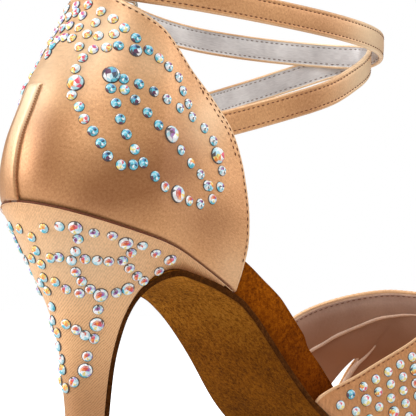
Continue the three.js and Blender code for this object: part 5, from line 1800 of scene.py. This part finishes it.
def make_camera():
    ahead = Vector((math.sin(VIEW_AROUND) * math.cos(VIEW_DOWN),
                    math.cos(VIEW_AROUND) * math.cos(VIEW_DOWN), -math.sin(VIEW_DOWN)))
    right = Vector((math.cos(VIEW_AROUND), -math.sin(VIEW_AROUND), 0))
    up = right.cross(ahead)
    rolled_right = right * math.cos(VIEW_ROLL) + up * math.sin(VIEW_ROLL)
    rolled_up = up * math.cos(VIEW_ROLL) - right * math.sin(VIEW_ROLL)
    eye = Vector(to_frame(VIEW_TARGET)) - ahead * VIEW_DISTANCE * MM
    data = bpy.data.cameras.new("photo_view")
    data.sensor_width = SENSOR
    data.lens = VIEW_FOCAL / FRAME_PIXELS * SENSOR
    data.clip_start = 0.01
    camera = bpy.data.objects.new("photo_view", data)
    turn = Matrix((rolled_right, rolled_up, -ahead)).transposed().to_4x4()
    camera.matrix_world = Matrix.Translation(eye) @ turn
    bpy.context.scene.collection.objects.link(camera)
    bpy.context.scene.camera = camera


FLOOR_GLOW, FLOOR_SEEN = 0.12, 1.30   # the sweep under the shoe is lit from below as well


def make_floor():
    size = 6.0
    mesh = bpy.data.meshes.new("floor")
    mesh.from_pydata([(-size, -size, 0), (size, -size, 0), (size, size, 0), (-size, size, 0)],
                     [], [(0, 1, 2, 3)])
    n = Nodes("floor_paint")
    cloud = n.noise(n.add("TexCoord").outputs["Object"], 2.0, 2.0)
    paint = n.mix_colour(cloud, (0.68, 0.68, 0.68, 1), (0.71, 0.71, 0.71, 1))
    seen = n.add("LightPath").outputs["Is Camera Ray"]
    glow = n.math("MULTIPLY_ADD", seen, FLOOR_SEEN - FLOOR_GLOW, FLOOR_GLOW)
    n.set(base=paint, rough=0.9, specular=0.1, glow=paint, glow_strength=glow)
    mesh.materials.append(n.material)
    floor = bpy.data.objects.new("floor", mesh)
    bpy.context.scene.collection.objects.link(floor)


def area_light(name, place, target, size, power, colour=(1, 1, 1)):
    data = bpy.data.lights.new(name, "AREA")
    data.shape = "RECTANGLE"
    data.size, data.size_y = size
    data.energy = power
    data.color = colour
    light = bpy.data.objects.new(name, data)
    light.location = place
    way = Vector(target) - Vector(place)
    light.rotation_euler = way.to_track_quat("-Z", "Y").to_euler()
    bpy.context.scene.collection.objects.link(light)


def make_world():
    world = bpy.data.worlds.new("studio")
    bpy.context.scene.world = world
    world.use_nodes = True
    tree = world.node_tree
    tree.nodes.clear()
    output = tree.nodes.new("ShaderNodeOutputWorld")
    seen = tree.nodes.new("ShaderNodeBackground")
    seen.inputs["Color"].default_value = (1, 1, 1, 1)
    seen.inputs["Strength"].default_value = 1.0
    lit = tree.nodes.new("ShaderNodeBackground")
    lit.inputs["Color"].default_value = (1.0, 0.99, 0.98, 1)
    lit.inputs["Strength"].default_value = 0.30
    path = tree.nodes.new("ShaderNodeLightPath")
    choose = tree.nodes.new("ShaderNodeMixShader")
    tree.links.new(path.outputs["Is Camera Ray"], choose.inputs[0])
    tree.links.new(lit.outputs[0], choose.inputs[1])
    tree.links.new(seen.outputs[0], choose.inputs[2])
    tree.links.new(choose.outputs[0], output.inputs[0])


make_camera()
make_floor()
make_world()
area_light("overhead", (0.1, 0.1, 1.3), (0, 0, 0.05), (1.0, 1.0), 8.0)
area_light("key", (-0.60, -0.66, 1.12), (-0.04, 0, 0.08), (0.8, 0.8), 8.0)
area_light("behind_heel", (-0.92, 0.52, 0.40), (-0.06, 0, 0.09), (0.5, 0.6), 8.0)
area_light("ahead", (0.95, -0.65, 0.75), (0.0, 0, 0.08), (0.7, 0.7), 5.5, (1.0, 0.97, 0.92))

view = bpy.context.scene.view_settings
view.view_transform = "Standard"
view.look = "None"
